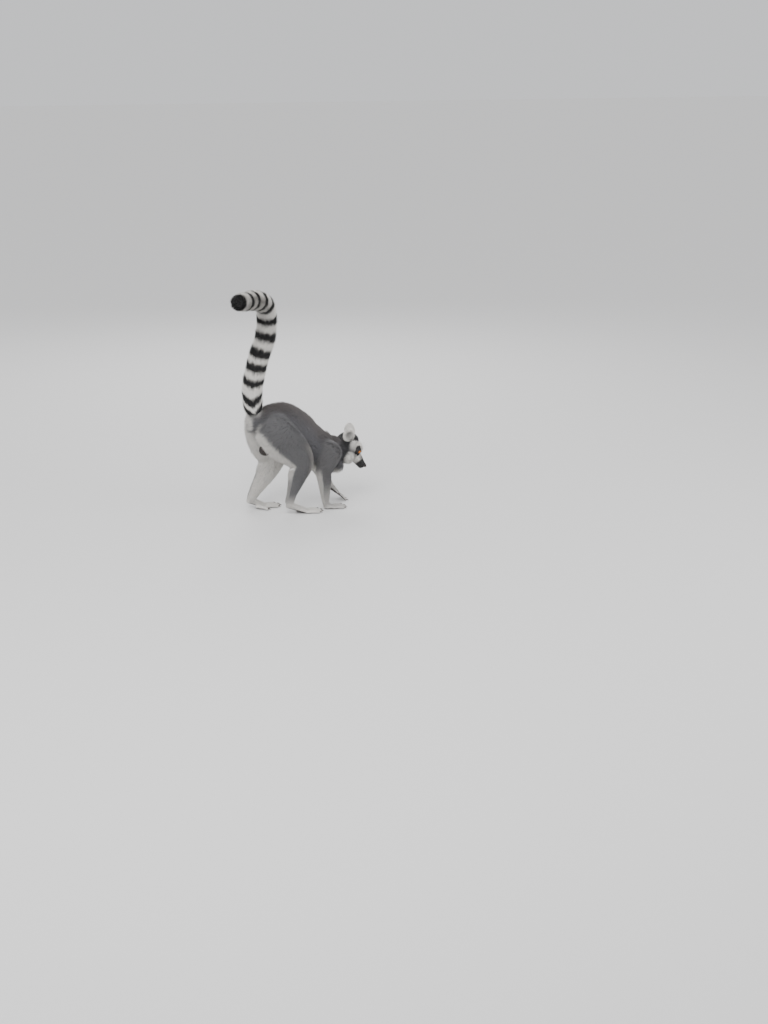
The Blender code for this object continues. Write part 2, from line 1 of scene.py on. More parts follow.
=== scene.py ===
"""The looks of a life-size ring-tailed lemur: one skin, a coat of tufts, eyes, nails and whiskers.

It is laid out as an add-on and is run as a script.  The animal faces +X, its left is +Y and the floor is
Z = 0.  The stations below are those of the solids, in centimetres of the animal's own frame, each with the
depth of the coat there: the skin lies that far under them.  metres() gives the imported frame's metres.
"""

import math

import bmesh
import bpy
import numpy as np
from bpy.props import FloatProperty, FloatVectorProperty, IntProperty, PointerProperty
from mathutils import Matrix, Vector
from mathutils.kdtree import KDTree


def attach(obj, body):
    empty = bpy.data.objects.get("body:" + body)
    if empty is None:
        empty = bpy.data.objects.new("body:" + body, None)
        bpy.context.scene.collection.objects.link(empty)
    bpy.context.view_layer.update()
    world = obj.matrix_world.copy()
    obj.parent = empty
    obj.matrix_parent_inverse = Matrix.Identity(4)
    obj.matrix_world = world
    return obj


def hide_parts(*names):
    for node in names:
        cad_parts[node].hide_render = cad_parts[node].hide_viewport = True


bl_info = {
    "name": "Ring-tailed lemur",
    "version": (1, 0, 0),
    "blender": (4, 5, 0),
    "location": "3D View > Sidebar > Lemur",
    "description": "Skin, coat, eyes, nails and whiskers of a walking ring-tailed lemur",
    "category": "Add Mesh",
}

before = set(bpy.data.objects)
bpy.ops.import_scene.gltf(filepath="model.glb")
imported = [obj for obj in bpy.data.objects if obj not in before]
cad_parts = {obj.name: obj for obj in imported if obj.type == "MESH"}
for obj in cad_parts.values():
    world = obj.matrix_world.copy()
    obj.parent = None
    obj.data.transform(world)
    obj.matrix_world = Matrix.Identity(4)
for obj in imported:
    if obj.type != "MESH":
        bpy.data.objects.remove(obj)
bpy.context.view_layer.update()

CM = 0.01                     # metres in a centimetre
FRAME_SHIFT = np.array([2.082, 5.801, 0.0])
BODY = "root"
EYES = ("eye_left", "eye_right")
SEED = 11
SIDES = {"left": 1, "right": -1}

# ------------------------------------------------ stations: place, half width, half depth, coat

TRUNK = {
    "rump": ((-12.2, 0.0, 26.0), 3.9, 3.6, 1.1),
    "pelvis": ((-9.6, 0.0, 25.7), 4.7, 4.7, 1.2),
    "loin": ((-5.2, 0.0, 25.4), 5.0, 5.6, 1.3),
    "waist": ((-1.6, 0.0, 22.7), 5.2, 6.0, 1.3),
    "ribs": ((1.6, 0.0, 19.3), 5.4, 6.0, 1.25),
    "chest": ((4.9, 0.0, 16.7), 5.4, 5.9, 1.25),
    "shoulders": ((8.3, 0.0, 15.5), 5.0, 5.5, 1.25),
    "neck": ((11.2, 0.0, 15.7), 4.2, 4.7, 1.15),
    "nape": ((13.6, 0.0, 16.0), 3.4, 3.9, 0.9),
}
BREAST = ((10.6, 0.0, 13.6), (3.4, 4.0, 3.9), 1.3)

TAIL = {
    "root": ((-11.9, 0.0, 26.2), 2.85, 2.85, 1.35),
    "rise": ((-13.1, 0.0, 30.2), 3.0, 3.0, 1.6),
    "first": ((-13.4, 0.0, 34.6), 3.15, 3.15, 1.85),
    "second": ((-12.7, 0.0, 39.0), 3.1, 3.1, 1.85),
    "third": ((-11.5, 0.0, 43.6), 3.1, 3.1, 1.85),
    "fourth": ((-9.8, 0.1, 48.2), 3.1, 3.1, 1.85),
    "crest": ((-9.0, 0.0, 53.0), 3.0, 3.0, 1.8),
    "turn": ((-9.6, -1.7, 57.3), 2.95, 2.95, 1.8),
    "over": ((-11.9, -5.2, 59.9), 2.95, 2.95, 1.85),
    "back": ((-15.0, -9.4, 61.2), 2.9, 2.9, 1.9),
    "sweep": ((-18.3, -13.6, 61.9), 2.75, 2.75, 1.9),
    "tip": ((-21.2, -16.6, 62.2), 2.3, 2.3, 1.7),
}

HIND_RIGHT = {
    "hip": ((-8.6, -3.3, 25.0), 3.3, 5.4, 1.15),
    "thigh": ((-5.2, -4.3, 20.6), 3.1, 5.6, 1.15),
    "knee": ((-1.6, -4.9, 15.4), 2.5, 3.9, 0.95),
    "calf": ((-2.6, -4.9, 10.6), 2.0, 2.7, 0.62),
    "shin": ((-4.1, -4.8, 6.2), 1.35, 1.6, 0.4),
    "heel": ((-4.9, -4.7, 3.5), 1.15, 1.35, 0.24),
}
HIND_LEFT = {
    "hip": ((-9.2, 3.3, 24.6), 3.3, 5.3, 1.15),
    "thigh": ((-8.9, 4.2, 19.9), 2.9, 5.0, 1.1),
    "knee": ((-7.1, 4.7, 14.6), 2.4, 4.3, 0.95),
    "calf": ((-8.7, 4.7, 10.0), 2.0, 3.1, 0.66),
    "shin": ((-11.5, 4.5, 5.9), 1.4, 2.0, 0.44),
    "heel": ((-13.3, 4.3, 3.2), 1.15, 1.4, 0.24),
}
FORE_RIGHT = {
    "shoulder": ((8.6, -3.2, 17.3), 2.4, 3.9, 1.1),
    "upper": ((7.0, -4.0, 14.6), 2.2, 3.3, 1.0),
    "elbow": ((5.7, -4.2, 11.6), 1.85, 2.5, 0.75),
    "forearm": ((5.8, -4.0, 7.2), 1.6, 1.85, 0.5),
    "wrist": ((6.1, -3.7, 1.9), 0.95, 1.0, 0.18),
}
FORE_LEFT = {
    "shoulder": ((8.9, 3.2, 17.0), 2.4, 3.7, 1.1),
    "upper": ((7.6, 3.9, 14.4), 2.2, 3.1, 1.0),
    "elbow": ((6.4, 4.2, 11.4), 1.8, 2.3, 0.7),
    "forearm": ((8.1, 4.1, 7.8), 1.5, 1.7, 0.46),
    "wrist": ((10.3, 3.9, 4.2), 0.95, 0.95, 0.18),
}

SOLE_RIGHT = {
    "heel": ((-5.1, -4.8, 2.7), 1.05, 1.15, 0.16),
    "instep": ((-2.8, -4.9, 1.7), 1.2, 0.95, 0.12),
    "ball": ((-0.5, -4.9, 0.68), 1.5, 0.85, 0.07),
}
SOLE_LEFT = {
    "heel": ((-13.9, 4.2, 2.5), 1.05, 1.1, 0.16),
    "instep": ((-12.0, 4.2, 1.7), 1.2, 0.95, 0.12),
    "ball": ((-10.0, 4.2, 0.68), 1.5, 0.85, 0.07),
}
TOE_LENGTHS = (3.5, 4.1, 4.0, 3.3)           # inner to outer
TOE_FAN = (8.0, 1.0, -7.0, -16.0)            # degrees towards the midline
TOE_RADIUS = 0.50
TOE_ROOT = (0.4, -0.25)                      # from the ball's middle, ahead and up
GREAT_TOE_LENGTH = 3.3
GREAT_TOE_FAN = 44.0                         # degrees
GREAT_TOE_RADIUS = 0.58
GREAT_TOE_BACK = 2.0                         # how far behind the ball's middle it grows
GREAT_TOE_INWARD = 0.9
DIGIT_SINK = 0.6                             # height of a toe's end, in its radii
DIGIT_SPREAD = 0.78                          # from one root to the next
DIGIT_ARCH = 0.14                            # how much higher the knuckle is
DIGIT_HALF = ((1.05, 1.0), (0.92, 0.95), (0.86, 0.82))   # at root, knuckle and tip, over the radius
DIGIT_MIDDLE = 1.5                           # the middle of a row of four
DIGIT_COAT = 0.05

PALM_HALF = (1.75, 1.35, 0.72)
PALM_COAT = 0.08
PALM_ROOT_HALF = (1.25, 0.7)
HAND_MIDDLE_HALF = (1.1, 0.9)
FINGER_LENGTHS = (3.2, 3.6, 3.5, 2.9)
FINGER_FAN = (14.0, 4.0, -7.0, -19.0)
FINGER_RADIUS = 0.43
FINGER_ROOT = (0.9, -0.1)
FINGER_CLOSER = 0.9                          # the fingers' spread over the toes'
THUMB_LENGTH = 2.3
THUMB_FAN = 62.0
THUMB_RADIUS = 0.46
THUMB_ROOT = (-0.5, 0.8, -0.1)
HAND_RIGHT = {"place": (7.2, -3.6, 0.55), "pitch": 3.0, "yaw": 2.0}
HAND_LEFT = {"place": (11.4, 3.8, 3.05), "pitch": 43.0, "yaw": -4.0}
SCROTUM = ((-10.2, 0.0, 17.9), (1.9, 1.5, 1.8), 0.12)

HEAD_PLACE = (14.6, 0.0, 16.3)
HEAD_PITCH = 50.0                             # degrees down
HEAD_YAW = -22.0                              # degrees; below 0 is to its right
HEAD_MIDDLE = (1.6, 0.0, 0.0)                 # from where the head's unwrap is seen
CRANIUM = ((-0.7, 0.0, 0.4), (3.6, 3.3, 3.35), 0.6)
FOREHEAD = ((1.3, 0.0, 1.0), (2.2, 2.5, 2.35), 0.42)
CHEEK = ((0.9, 2.0, -1.5), (2.8, 1.8, 2.3), 0.62)
BROW = ((1.4, 1.4, 2.3), (1.2, 0.95, 0.72), 0.3)
MUZZLE = {
    "root": ((1.2, 0.0, -0.4), 2.3, 2.3, 0.42),
    "bridge": ((3.45, 0.0, -0.35), 1.62, 1.80, 0.2),
    "middle": ((5.0, 0.0, -0.5), 1.16, 1.38, 0.12),
    "lips": ((6.25, 0.0, -0.6), 0.98, 1.16, 0.1),
}
NOSE = ((6.85, 0.0, -0.02), (0.62, 0.64, 0.54), 0.02)
MOUTH = ((7.1, -1.02), (6.35, -1.18), (5.2, -1.32), (4.1, -1.30), (3.2, -1.02))   # the mouth line's x and z
MOUTH_DEPTH = 0.09
NOSTRIL = ((7.41, 0.2, 0.06), (7.17, 0.5, -0.12))
NOSTRIL_DEPTH = 0.16
NOSTRIL_RIM = 0.07
LIP_GROOVE = 0.05
UNDER_EYE = 0.05
EYE_PLACE = (2.3, 1.64, 1.7)
EYE_RADIUS = 0.62
EYE_GAZE = (0.72, 0.66, 0.20)
EYE_ROOM = 0.01                               # how much less than its solid the eyeball is
CORNEA_RISE = 0.05
CORNEA_ANGLE = 0.62                           # radians
IRIS_ANGLE = 0.86                             # radians
LID_RADIUS = 0.75
LID_BALL = (EYE_PLACE, (LID_RADIUS, LID_RADIUS, LID_RADIUS), 0.0)
LID_OPEN = (0.98, 0.82)                       # half angles of the opening across and up-down, radians
LID_TILT = -0.05                              # how far the outer corner sits up
LID_RIM = (0.035, 1.18, 0.12)                 # the rim's height, place round the opening and width
LID_FOLD = (0.03, 1.5, 0.12)                  # the same of the fold beyond it
EYE_HOLLOW = 0.47                             # how far from the eye's middle the skin behind the eyeball is
EAR_ROOT = (-2.0, 2.35, 2.1)
EAR_HEIGHT = 4.3
EAR_HALF_WIDTH = 1.75
EAR_HALF_DEPTH = 0.95
EAR_MIDDLE = 0.36                             # how high its middle is, over its height
EAR_CUP_RISE = 0.06                           # how much higher the hollow's middle is, over its height
EAR_CUP_SHIFT = 0.85                          # how far out of the ear's middle it is
EAR_CUP_SCALE = 0.80                          # its size over the ear's
EAR_CUP_NEARER = 0.32                         # how much nearer the middle the skin's hollow is
EAR_COAT = (0.42, 0.3, 0.34)                  # behind, at the rim's sides and at its top
EAR_INNER_COAT = 0.13
LID_COAT = 0.09
EAR_LEAN_OUT = 42.0                           # degrees, as the next two are
EAR_LEAN_BACK = 52.0
EAR_TURN = 28.0

# ---------------------------------------------------------------- how the coat lies: see the Coat settings

GROUPS = ("trunk", "tail", "head", "ear_left", "ear_right", "hind_left", "hind_right", "fore_left",
          "fore_right", "foot_left", "foot_right", "hand_left", "hand_right", "scrotum")
LENGTH_OVER_DEPTH = {"trunk": 2.1, "tail": 1.75, "head": 2.2, "ear": 2.1, "hind": 2.2, "fore": 2.2,
                     "foot": 2.6, "hand": 2.6, "scrotum": 1.5}
HALF_WIDTH = {"trunk": 0.050, "tail": 0.055, "head": 0.026, "ear": 0.030, "hind": 0.045, "fore": 0.036,
              "foot": 0.018, "hand": 0.018, "scrotum": 0.02}
DENSITY = {"trunk": 0.80, "tail": 1.35, "head": 3.3, "ear": 2.6, "hind": 0.95, "fore": 1.15,
           "foot": 1.7, "hand": 1.7, "scrotum": 0.6}
BLEND = 0.07                                  # how softly one group's markings give way to the next one's
FLOW_BLEND = 0.22                             # the same for the lie and the depth of the coat
TUFT_HEIGHT = (0.68, 0.36, 0.7)               # least, the range over it and its power, of the coat's depth
TUFT_LENGTHS = (0.8, 1.15)                    # of the usual length
TUFT_WIDTHS = (0.7, 1.25)                     # of the usual width
TUFT_LEAST = 0.14                             # the shortest tuft
TUFT_WAVER = 0.16                             # how far tufts stray from the lie, radians
TUFT_SWIRL = 0.22                             # how far the lie itself wanders, radians
TUFT_KNEE = (0.62, 0.36)                      # where a tuft is thickest: up, and ahead
TUFT_FLATNESS = 0.5                           # its depth over its width
TUFT_ROOT = (0.05, 0.3)                       # depth of its root: at most, and of the coat's depth
TUFT_MARK = 0.35                              # how far along it its colour is read
TIP_SHORTER = 0.45                            # how much shorter tufts are at the tail's tip
LOCK_TUFTS = 14                               # tufts in a lock
LOCK_PULL = 0.42                              # how far a lock draws their tips together
# a tuft's points are its root, three round its knee and its tip; these are its faces and its bake patch
TUFT_FACES = np.array([(0, 2, 1), (0, 3, 2), (0, 1, 3), (4, 1, 2), (4, 2, 3), (4, 3, 1)])
TUFT_PATCH = np.array([(0.0, -0.0015), (-0.0015, 0.0), (0.0, 0.0004), (0.0015, 0.0), (0.0, 0.0015)])
KNEE_TURNS = np.radians((90.0, 210.0, 330.0))
TIPWARD = (0.0, 0.45, 0.45, 0.45, 1.0)        # how near the tip each of its points counts as, for its colour and its painted root shade
TUFT_POINTS = len(TUFT_PATCH)
TUFT_SIDES = len(TUFT_FACES)
KNEE_SHARE = 0.4                              # how much of a tip's pull its knee takes

VOXEL = 0.165                                 # size of the cells in which the skin is fused
SMOOTH_FACTOR = 0.5
SMOOTH_PASSES = 6
FACE_PASSES = 65                              # more passes over the face, inside the egg of the next two
FACE_MIDDLE = (1.2, 0.0, -0.6)
FACE_HALF = (3.8, 4.4, 3.5)
JOIN_REACH = 1.06                             # how far out of both limb and trunk the skin is eased
JOIN_PASSES = 120
# The skin is cut finer twice: this near an eye, or past this X of the head's own frame.  The second test
# isn't bounded by the head: the hands, the right foot and part of the right foreleg also lie past it.
FINER = ((2.2, 2.6), (1.25, 5.2))
RING_SIDES = 24
DOME_REACH = 0.85                             # how far a tube's end bulges, over its lesser half size
DOME_RINGS = 4
DOME_LAST = 0.35
SOLE_LEVEL = 0.01                             # height of the lowest skin and tufts
NECK_STARTS = 21.0                            # where the coat's pieces part: along the trunk,
TAIL_PARTED = 27.0                            # along the tail,
CROWN_ENDS = 1.1                              # and forward on the head
NAIL_LEAST_DIP = -0.12                        # the steepest way down that a nail starts
NAIL_AHEAD = 0.42                             # its root, ahead of the digit's end and above, in radii
NAIL_LIFT = 0.1                               # how much its aim is turned up
WHISKER_ROWS = 4
WHISKER_COLUMNS = 5
BROW_WHISKERS = 4

CAP_AXIS = (-0.42, 0.0, 0.91)                 # the middle of the dark cap, from the cranium's middle
PATCH = (((2.42, 1.72, 1.62), 1.10), ((2.3, 1.95, 0.95), 0.68), ((3.0, 1.4, 1.15), 0.62),
         ((1.85, 1.95, 2.15), 0.9))           # dark discs round the eye
MUZZLE_DARK = (4.35, 5.05)
# heights on the head, and where the white face ends behind at each
FACE_EDGE = ((-3.6, -1.5, -0.2, 1.1, 2.1, 3.1), (0.2, 0.95, 0.6, -0.5, -1.1, -0.9))
# heights on the head, and where the dark cap ends behind at each
NAPE_EDGE = ((-3.3, -1.1, 0.1, 2.0), (-0.7, -2.0, -3.2, -5.0))
RINGS = ((1.9, 1.7), (5.0, 2.2), (10.0, 2.3), (14.3, 2.5), (18.4, 2.5), (23.2, 2.5), (28.0, 2.5), (33.5, 2.3),
         (38.5, 2.0), (43.7, 1.8), (47.5, 1.4))       # where each ring is and how wide
RING_FADE = 0.2
TIP_BLACK = 50.6
# places along the tail, and how far a ring climbs as it goes round the tail there
CHEVRON = ((0.0, 6.0, 11.0, 16.0, 24.0), (6.2, 5.0, 1.8, 0.9, 0.4))
CHEVRON_TURN = -0.3                           # where the rings' points are, from the right side, in radians

CAMERA_PLACE = (-1.23087, -3.81943, 1.25382)   # metres
CAMERA_TURN = math.radians(21.2)
CAMERA_DIP = math.radians(17.3)
OVERHEAD_PLACE = (-0.5, -0.6, 1.0)
SENSOR_HEIGHT = 36.0                          # millimetres
FAR_CLIP = 60.0                               # metres
FLOOR_HALF = 30.0                             # metres
SKY_COLOUR = (0.97, 0.98, 1.0, 1.0)
LAMPS_AIM = (0.0, 0.0, 0.30)                  # the place that the lamps point at
OVERHEAD_SPREAD = math.radians(80.0)
# name, place, size and share of the power of each lamp
LIGHTS = (("key", (-1.1, -1.9, 2.3), 1.6, 1.0), ("fill", (2.0, -1.6, 1.2), 1.8, 0.35),
          ("back", (0.6, 2.2, 1.9), 1.6, 0.55))


def metres(points):
    """Places in the animal's frame, in centimetres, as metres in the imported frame."""
    return (np.asarray(points) + FRAME_SHIFT) * CM


def unit(rows):
    """Rows scaled to length one."""
    return rows / np.maximum(np.linalg.norm(rows, axis=-1, keepdims=True), 1e-9)


def rise(low, high, value):
    """0 at low, 1 at high and smooth between; low may be the larger."""
    share = np.clip((value - low) / (high - low), 0.0, 1.0)
    return share * share * (3.0 - 2.0 * share)


def blend(first, second, share):
    """Rows or numbers mixed by a share for each row."""
    if np.ndim(first) > np.ndim(share) or np.ndim(second) > np.ndim(share):
        share = share[:, None]
    return first + (second - first) * share


def kind(group):
    """The name that left and right share."""
    return group.split("_")[0]


def curve_through(rows, steps):
    """Rows of numbers joined by a Catmull-Rom curve, steps samples to each span."""
    rows = np.array(rows, dtype=float)
    ends = np.vstack([2 * rows[0] - rows[1], rows, 2 * rows[-1] - rows[-2]])
    samples = []
    for span in range(len(rows) - 1):
        before, start, finish, after = ends[span:span + 4]
        for share in np.arange(steps) / steps:
            samples.append(0.5 * (2 * start + (finish - before) * share
                                  + (2 * before - 5 * start + 4 * finish - after) * share ** 2
                                  + (3 * start - before - 3 * finish + after) * share ** 3))
    samples.append(rows[-1])
    return np.array(samples)


class Tube:
    """Elliptical rings along a curve, from rows (x, y, z, half width, half depth, coat)."""

    def __init__(self, group, rows, side=(0.0, 1.0, 0.0)):
        self.group = group
        self.side = np.array(side, dtype=float)
        self.rows = rows
        self.centre = rows[:, :3]
        self.half = rows[:, 3:5]
        self.coat = rows[:, 5]
        self.along, self.across, self.deep = self.axes(self.centre)
        spans = np.linalg.norm(np.diff(self.centre, axis=0), axis=1)
        self.reach = np.concatenate([[0.0], np.cumsum(spans)])

    def axes(self, centres):
        """Directions along, across and deep at each ring."""
        along = unit(np.gradient(centres, axis=0))
        across = unit(self.side - along * (along @ self.side)[:, None])
        return along, across, np.cross(along, across)

    def read(self, points):
        """How far out each point is, its place along, across and deep, the coat and the line's direction."""
        square = (self.centre ** 2).sum(1) - 2.0 * points @ self.centre.T
        near = square.argmin(1)
        offset = points - self.centre[near]
        across = (offset * self.across[near]).sum(1) / self.half[near, 0]
        deep = (offset * self.deep[near]).sum(1) / self.half[near, 1]
        ahead = (offset * self.along[near]).sum(1)
        out = np.sqrt(across ** 2 + deep ** 2 + (ahead / self.half[near].min(1)) ** 2)
        return out, self.reach[near] + ahead, across, deep, self.coat[near], self.along[near]

    def add_to(self, work):
        """Add the skin under this form's coat to a bmesh, with a dome at each end."""
        rows = self.rows.copy()
        rows[:, 3:5] -= rows[:, 5:]
        domes = []
        for end, neighbour in ((rows[0], rows[1]), (rows[-1], rows[-2])):
            outward = unit(end[:3] - neighbour[:3])
            reach = DOME_REACH * min(end[3], end[4])
            angles = 0.5 * math.pi * np.arange(1, DOME_RINGS + 1) / (DOME_RINGS + DOME_LAST)
            domes.append([np.concatenate([end[:3] + outward * reach * math.sin(angle),
                                          end[3:] * math.cos(angle)]) for angle in angles])
        rows = np.array(domes[0][::-1] + list(rows) + domes[1])
        _, across, deep = self.axes(rows[:, :3])
        rings = []
        for row, wide_way, deep_way in zip(rows, across, deep):
            turns = np.arange(RING_SIDES) * 2 * math.pi / RING_SIDES
            ring = (row[:3] + wide_way * row[3] * np.cos(turns)[:, None]
                    + deep_way * row[4] * np.sin(turns)[:, None])
            rings.append([work.verts.new(place) for place in metres(ring)])
        for lower, upper in zip(rings, rings[1:]):
            for here in range(RING_SIDES):
                there = (here + 1) % RING_SIDES
                work.faces.new((lower[here], lower[there], upper[there], upper[here]))
        work.faces.new(rings[0][::-1])
        work.faces.new(rings[-1])


class Egg:
    """An ellipsoid with its own turn and the depth of its coat."""

    def __init__(self, group, place, half, coat, turn=None):
        self.group = group
        self.centre = np.array(place, dtype=float)
        self.half = np.array(half, dtype=float)
        self.coat = coat
        self.turn = np.array(turn if turn is not None else Matrix.Identity(3))

    def read(self, points):
        """As a tube's: along, across and deep are the egg's own X, Y and Z in its half sizes."""
        own = (points - self.centre) @ self.turn / self.half
        out = np.linalg.norm(own, axis=1)
        every = np.ones(len(points))
        return out, own[:, 0], own[:, 1], own[:, 2], self.coat * every, every[:, None] * self.turn[:, 0]

    def add_to(self, work):
        """Add the skin under this form's coat to a bmesh."""
        shape = Matrix(self.turn.tolist()).to_4x4()
        size = Matrix.Diagonal((*((self.half - self.coat) * CM), 1.0))
        shape = Matrix.Translation(metres(self.centre)) @ shape @ size
        bmesh.ops.create_icosphere(work, subdivisions=4, radius=1.0, matrix=shape)


def stations(group, table, steps=8, side=(0.0, 1.0, 0.0)):
    """A tube through named stations (place, half width, half depth, coat)."""
    rows = [[*place, wide, deep, coat] for place, wide, deep, coat in table.values()]
    return Tube(group, curve_through(rows, steps), side)


HEAD_TURN = np.array(Matrix.Rotation(math.radians(HEAD_YAW), 3, "Z")
                     @ Matrix.Rotation(math.radians(HEAD_PITCH), 3, "Y"))


def on_head(places):
    """Places on the head, with X to the nose and Z to the crown, in the animal's frame."""
    return np.asarray(places, dtype=float) @ HEAD_TURN.T + HEAD_PLACE


def in_head(points):
    """The animal's places in the head's own frame."""
    return (points - HEAD_PLACE) @ HEAD_TURN


def mirrored(place, side):
    """The same place on the left (1) or the right (-1)."""
    return (place[0], place[1] * side, place[2])


def head_forms():
    """The skull, brows, cheeks, muzzle and nose."""
    turn = Matrix(HEAD_TURN.tolist())
    forms = [Egg("head", on_head(CRANIUM[0]), CRANIUM[1], CRANIUM[2], turn),
             Egg("head", on_head(FOREHEAD[0]), FOREHEAD[1], FOREHEAD[2], turn)]
    for side in SIDES.values():
        for place, half, coat in (CHEEK, BROW, LID_BALL):
            forms.append(Egg("head", on_head(mirrored(place, side)), half, coat, turn))
    rows = curve_through([[*place, wide, deep, coat] for place, wide, deep, coat in MUZZLE.values()], 8)
    rows[:, :3] = on_head(rows[:, :3])
    forms.append(Tube("head", rows, side=HEAD_TURN @ (0.0, 1.0, 0.0)))
    forms.append(Egg("head", on_head(NOSE[0]), NOSE[1], NOSE[2], turn))
    return forms


def digit(group, root, tip, radius):
    """A toe or finger: a tapering tube that arches a little."""
    root = np.asarray(root, dtype=float)
    tip = np.asarray(tip, dtype=float)
    knuckle = (root + tip) / 2 + (0.0, 0.0, DIGIT_ARCH)
    rows = [[*place, radius * wide, radius * deep, DIGIT_COAT]
            for place, (wide, deep) in zip((root, knuckle, tip), DIGIT_HALF)]
    made = Tube(group, curve_through(rows, 4))
    made.digit = True
    return made


def heading(degrees, side):
    """The direction of a digit that fans towards the midline."""
    angle = math.radians(degrees) * -side
    return np.array([math.cos(angle), math.sin(angle), 0.0])


def foot_forms(group, sole, side):
    """Heel, sole and five toes of a hind foot."""
    forms = [stations(group, sole, 6)]
    ball = np.array(sole["ball"][0])
    for order, (length, fan) in enumerate(zip(TOE_LENGTHS, TOE_FAN)):
        root = ball + (TOE_ROOT[0], -side * (DIGIT_MIDDLE - order) * DIGIT_SPREAD, TOE_ROOT[1])
        tip = root + length * heading(fan, side)
        tip[2] = TOE_RADIUS * DIGIT_SINK
        forms.append(digit(group, root, tip, TOE_RADIUS))
    root = ball + (-GREAT_TOE_BACK, -side * GREAT_TOE_INWARD, 0.0)
    tip = root + GREAT_TOE_LENGTH * heading(GREAT_TOE_FAN, side)
    tip[2] = GREAT_TOE_RADIUS * DIGIT_SINK
    forms.append(digit(group, root, tip, GREAT_TOE_RADIUS))
    return forms


def hand_forms(group, hand, limb, side):
    """Palm, four fingers and a thumb."""
    turn = np.array(Matrix.Rotation(math.radians(hand["yaw"]), 3, "Z")
                    @ Matrix.Rotation(math.radians(hand["pitch"]), 3, "Y"))
    place = np.array(hand["place"])
    wrist = np.array(limb["wrist"][0])
    forms = [Egg(group, place, PALM_HALF, PALM_COAT, turn)]
    bridge = [[*wrist, *limb["wrist"][1:]], [*(wrist + place) / 2, *HAND_MIDDLE_HALF, PALM_COAT],
              [*place, *PALM_ROOT_HALF, PALM_COAT]]
    forms.append(Tube(group, curve_through(bridge, 4)))
    for order, (length, fan) in enumerate(zip(FINGER_LENGTHS, FINGER_FAN)):
        across = (DIGIT_MIDDLE - order) * DIGIT_SPREAD * FINGER_CLOSER
        root = np.array([FINGER_ROOT[0], -side * across, FINGER_ROOT[1]])
        tip = root + length * heading(fan, side)
        forms.append(digit(group, place + turn @ root, place + turn @ tip, FINGER_RADIUS))
    root = np.array(mirrored(THUMB_ROOT, -side))
    tip = root + THUMB_LENGTH * heading(THUMB_FAN, side)
    forms.append(digit(group, place + turn @ root, place + turn @ tip, THUMB_RADIUS))
    return forms


def ear_turn(side):
    """An ear's own axes: X out of its hollow, Y across it and Z to its top."""
    lean = (Matrix.Rotation(math.radians(-EAR_LEAN_OUT * side), 3, "X")
            @ Matrix.Rotation(math.radians(-EAR_LEAN_BACK), 3, "Y")
            @ Matrix.Rotation(math.radians(EAR_TURN * side), 3, "Z"))
    return HEAD_TURN @ np.array(lean)


def ear_leaf(side_name, side):
    """The furred outline of one ear, which is only read, not built."""
    turn = ear_turn(side)
    middle = on_head(mirrored(EAR_ROOT, side)) + turn @ (0.0, 0.0, EAR_HEIGHT * EAR_MIDDLE)
    half = (EAR_HALF_DEPTH, EAR_HALF_WIDTH, EAR_HEIGHT / 2)
    return Egg(f"ear_{side_name}", middle, half, EAR_COAT[1], turn)


LIMBS = {"hind_left": HIND_LEFT, "hind_right": HIND_RIGHT, "fore_left": FORE_LEFT, "fore_right": FORE_RIGHT}
EARS = [ear_leaf(side_name, side) for side_name, side in SIDES.items()]
FLESH = ([stations("trunk", TRUNK), Egg("trunk", *BREAST), stations("tail", TAIL, 10, side=(1.0, 0.0, 0.0))]
         + [stations(group, table) for group, table in LIMBS.items()] + head_forms()
         + foot_forms("foot_right", SOLE_RIGHT, -1) + foot_forms("foot_left", SOLE_LEFT, 1)
         + hand_forms("hand_right", HAND_RIGHT, FORE_RIGHT, -1)
         + hand_forms("hand_left", HAND_LEFT, FORE_LEFT, 1)
         + [Egg("scrotum", *SCROTUM)])
TAIL_LINE = FLESH[2]


def survey(points):
    """What each group says of each point: weights, place along, across and deep, coat and direction."""
    found = {}
    for form in FLESH + EARS:
        reading = form.read(points)
        if form.group not in found:
            found[form.group] = list(reading)
            continue
        best = found[form.group]
        closer = reading[0] < best[0]
        for order, value in enumerate(reading):
            best[order][closer] = value[closer]
    nearest = np.min([found[group][0] for group in GROUPS], axis=0)
    report = {}
    for group in GROUPS:
        out, along, across, deep, coat, line = found[group]
        report[group] = {"out": out, "along": along, "across": across, "deep": deep, "coat": coat,
                         "line": line}
    for key, width in (("weight", BLEND), ("soft", FLOW_BLEND)):
        shares = {group: np.exp(-(report[group]["out"] - nearest) / width) for group in GROUPS}
        total = sum(shares.values())
        for group in GROUPS:
            report[group][key] = shares[group] / total
    return report


# ---------------------------------------------------------------- markings

def tail_rings(along, across, deep):
    """Black as 1 along the tail: rings with their points towards its root, and the black tip."""
    turn = (np.arctan2(across, -deep) - CHEVRON_TURN + math.pi) % (2 * math.pi) - math.pi
    place = along - np.interp(along, *CHEVRON) * np.minimum(np.abs(turn) / math.pi, 0.6)
    rings = [rise(0.5 * width + RING_FADE, 0.5 * width - RING_FADE, np.abs(place - middle))
             for middle, width in RINGS]
    return np.maximum(np.max(rings, axis=0), rise(TIP_BLACK - 0.5, TIP_BLACK + 0.5, along))


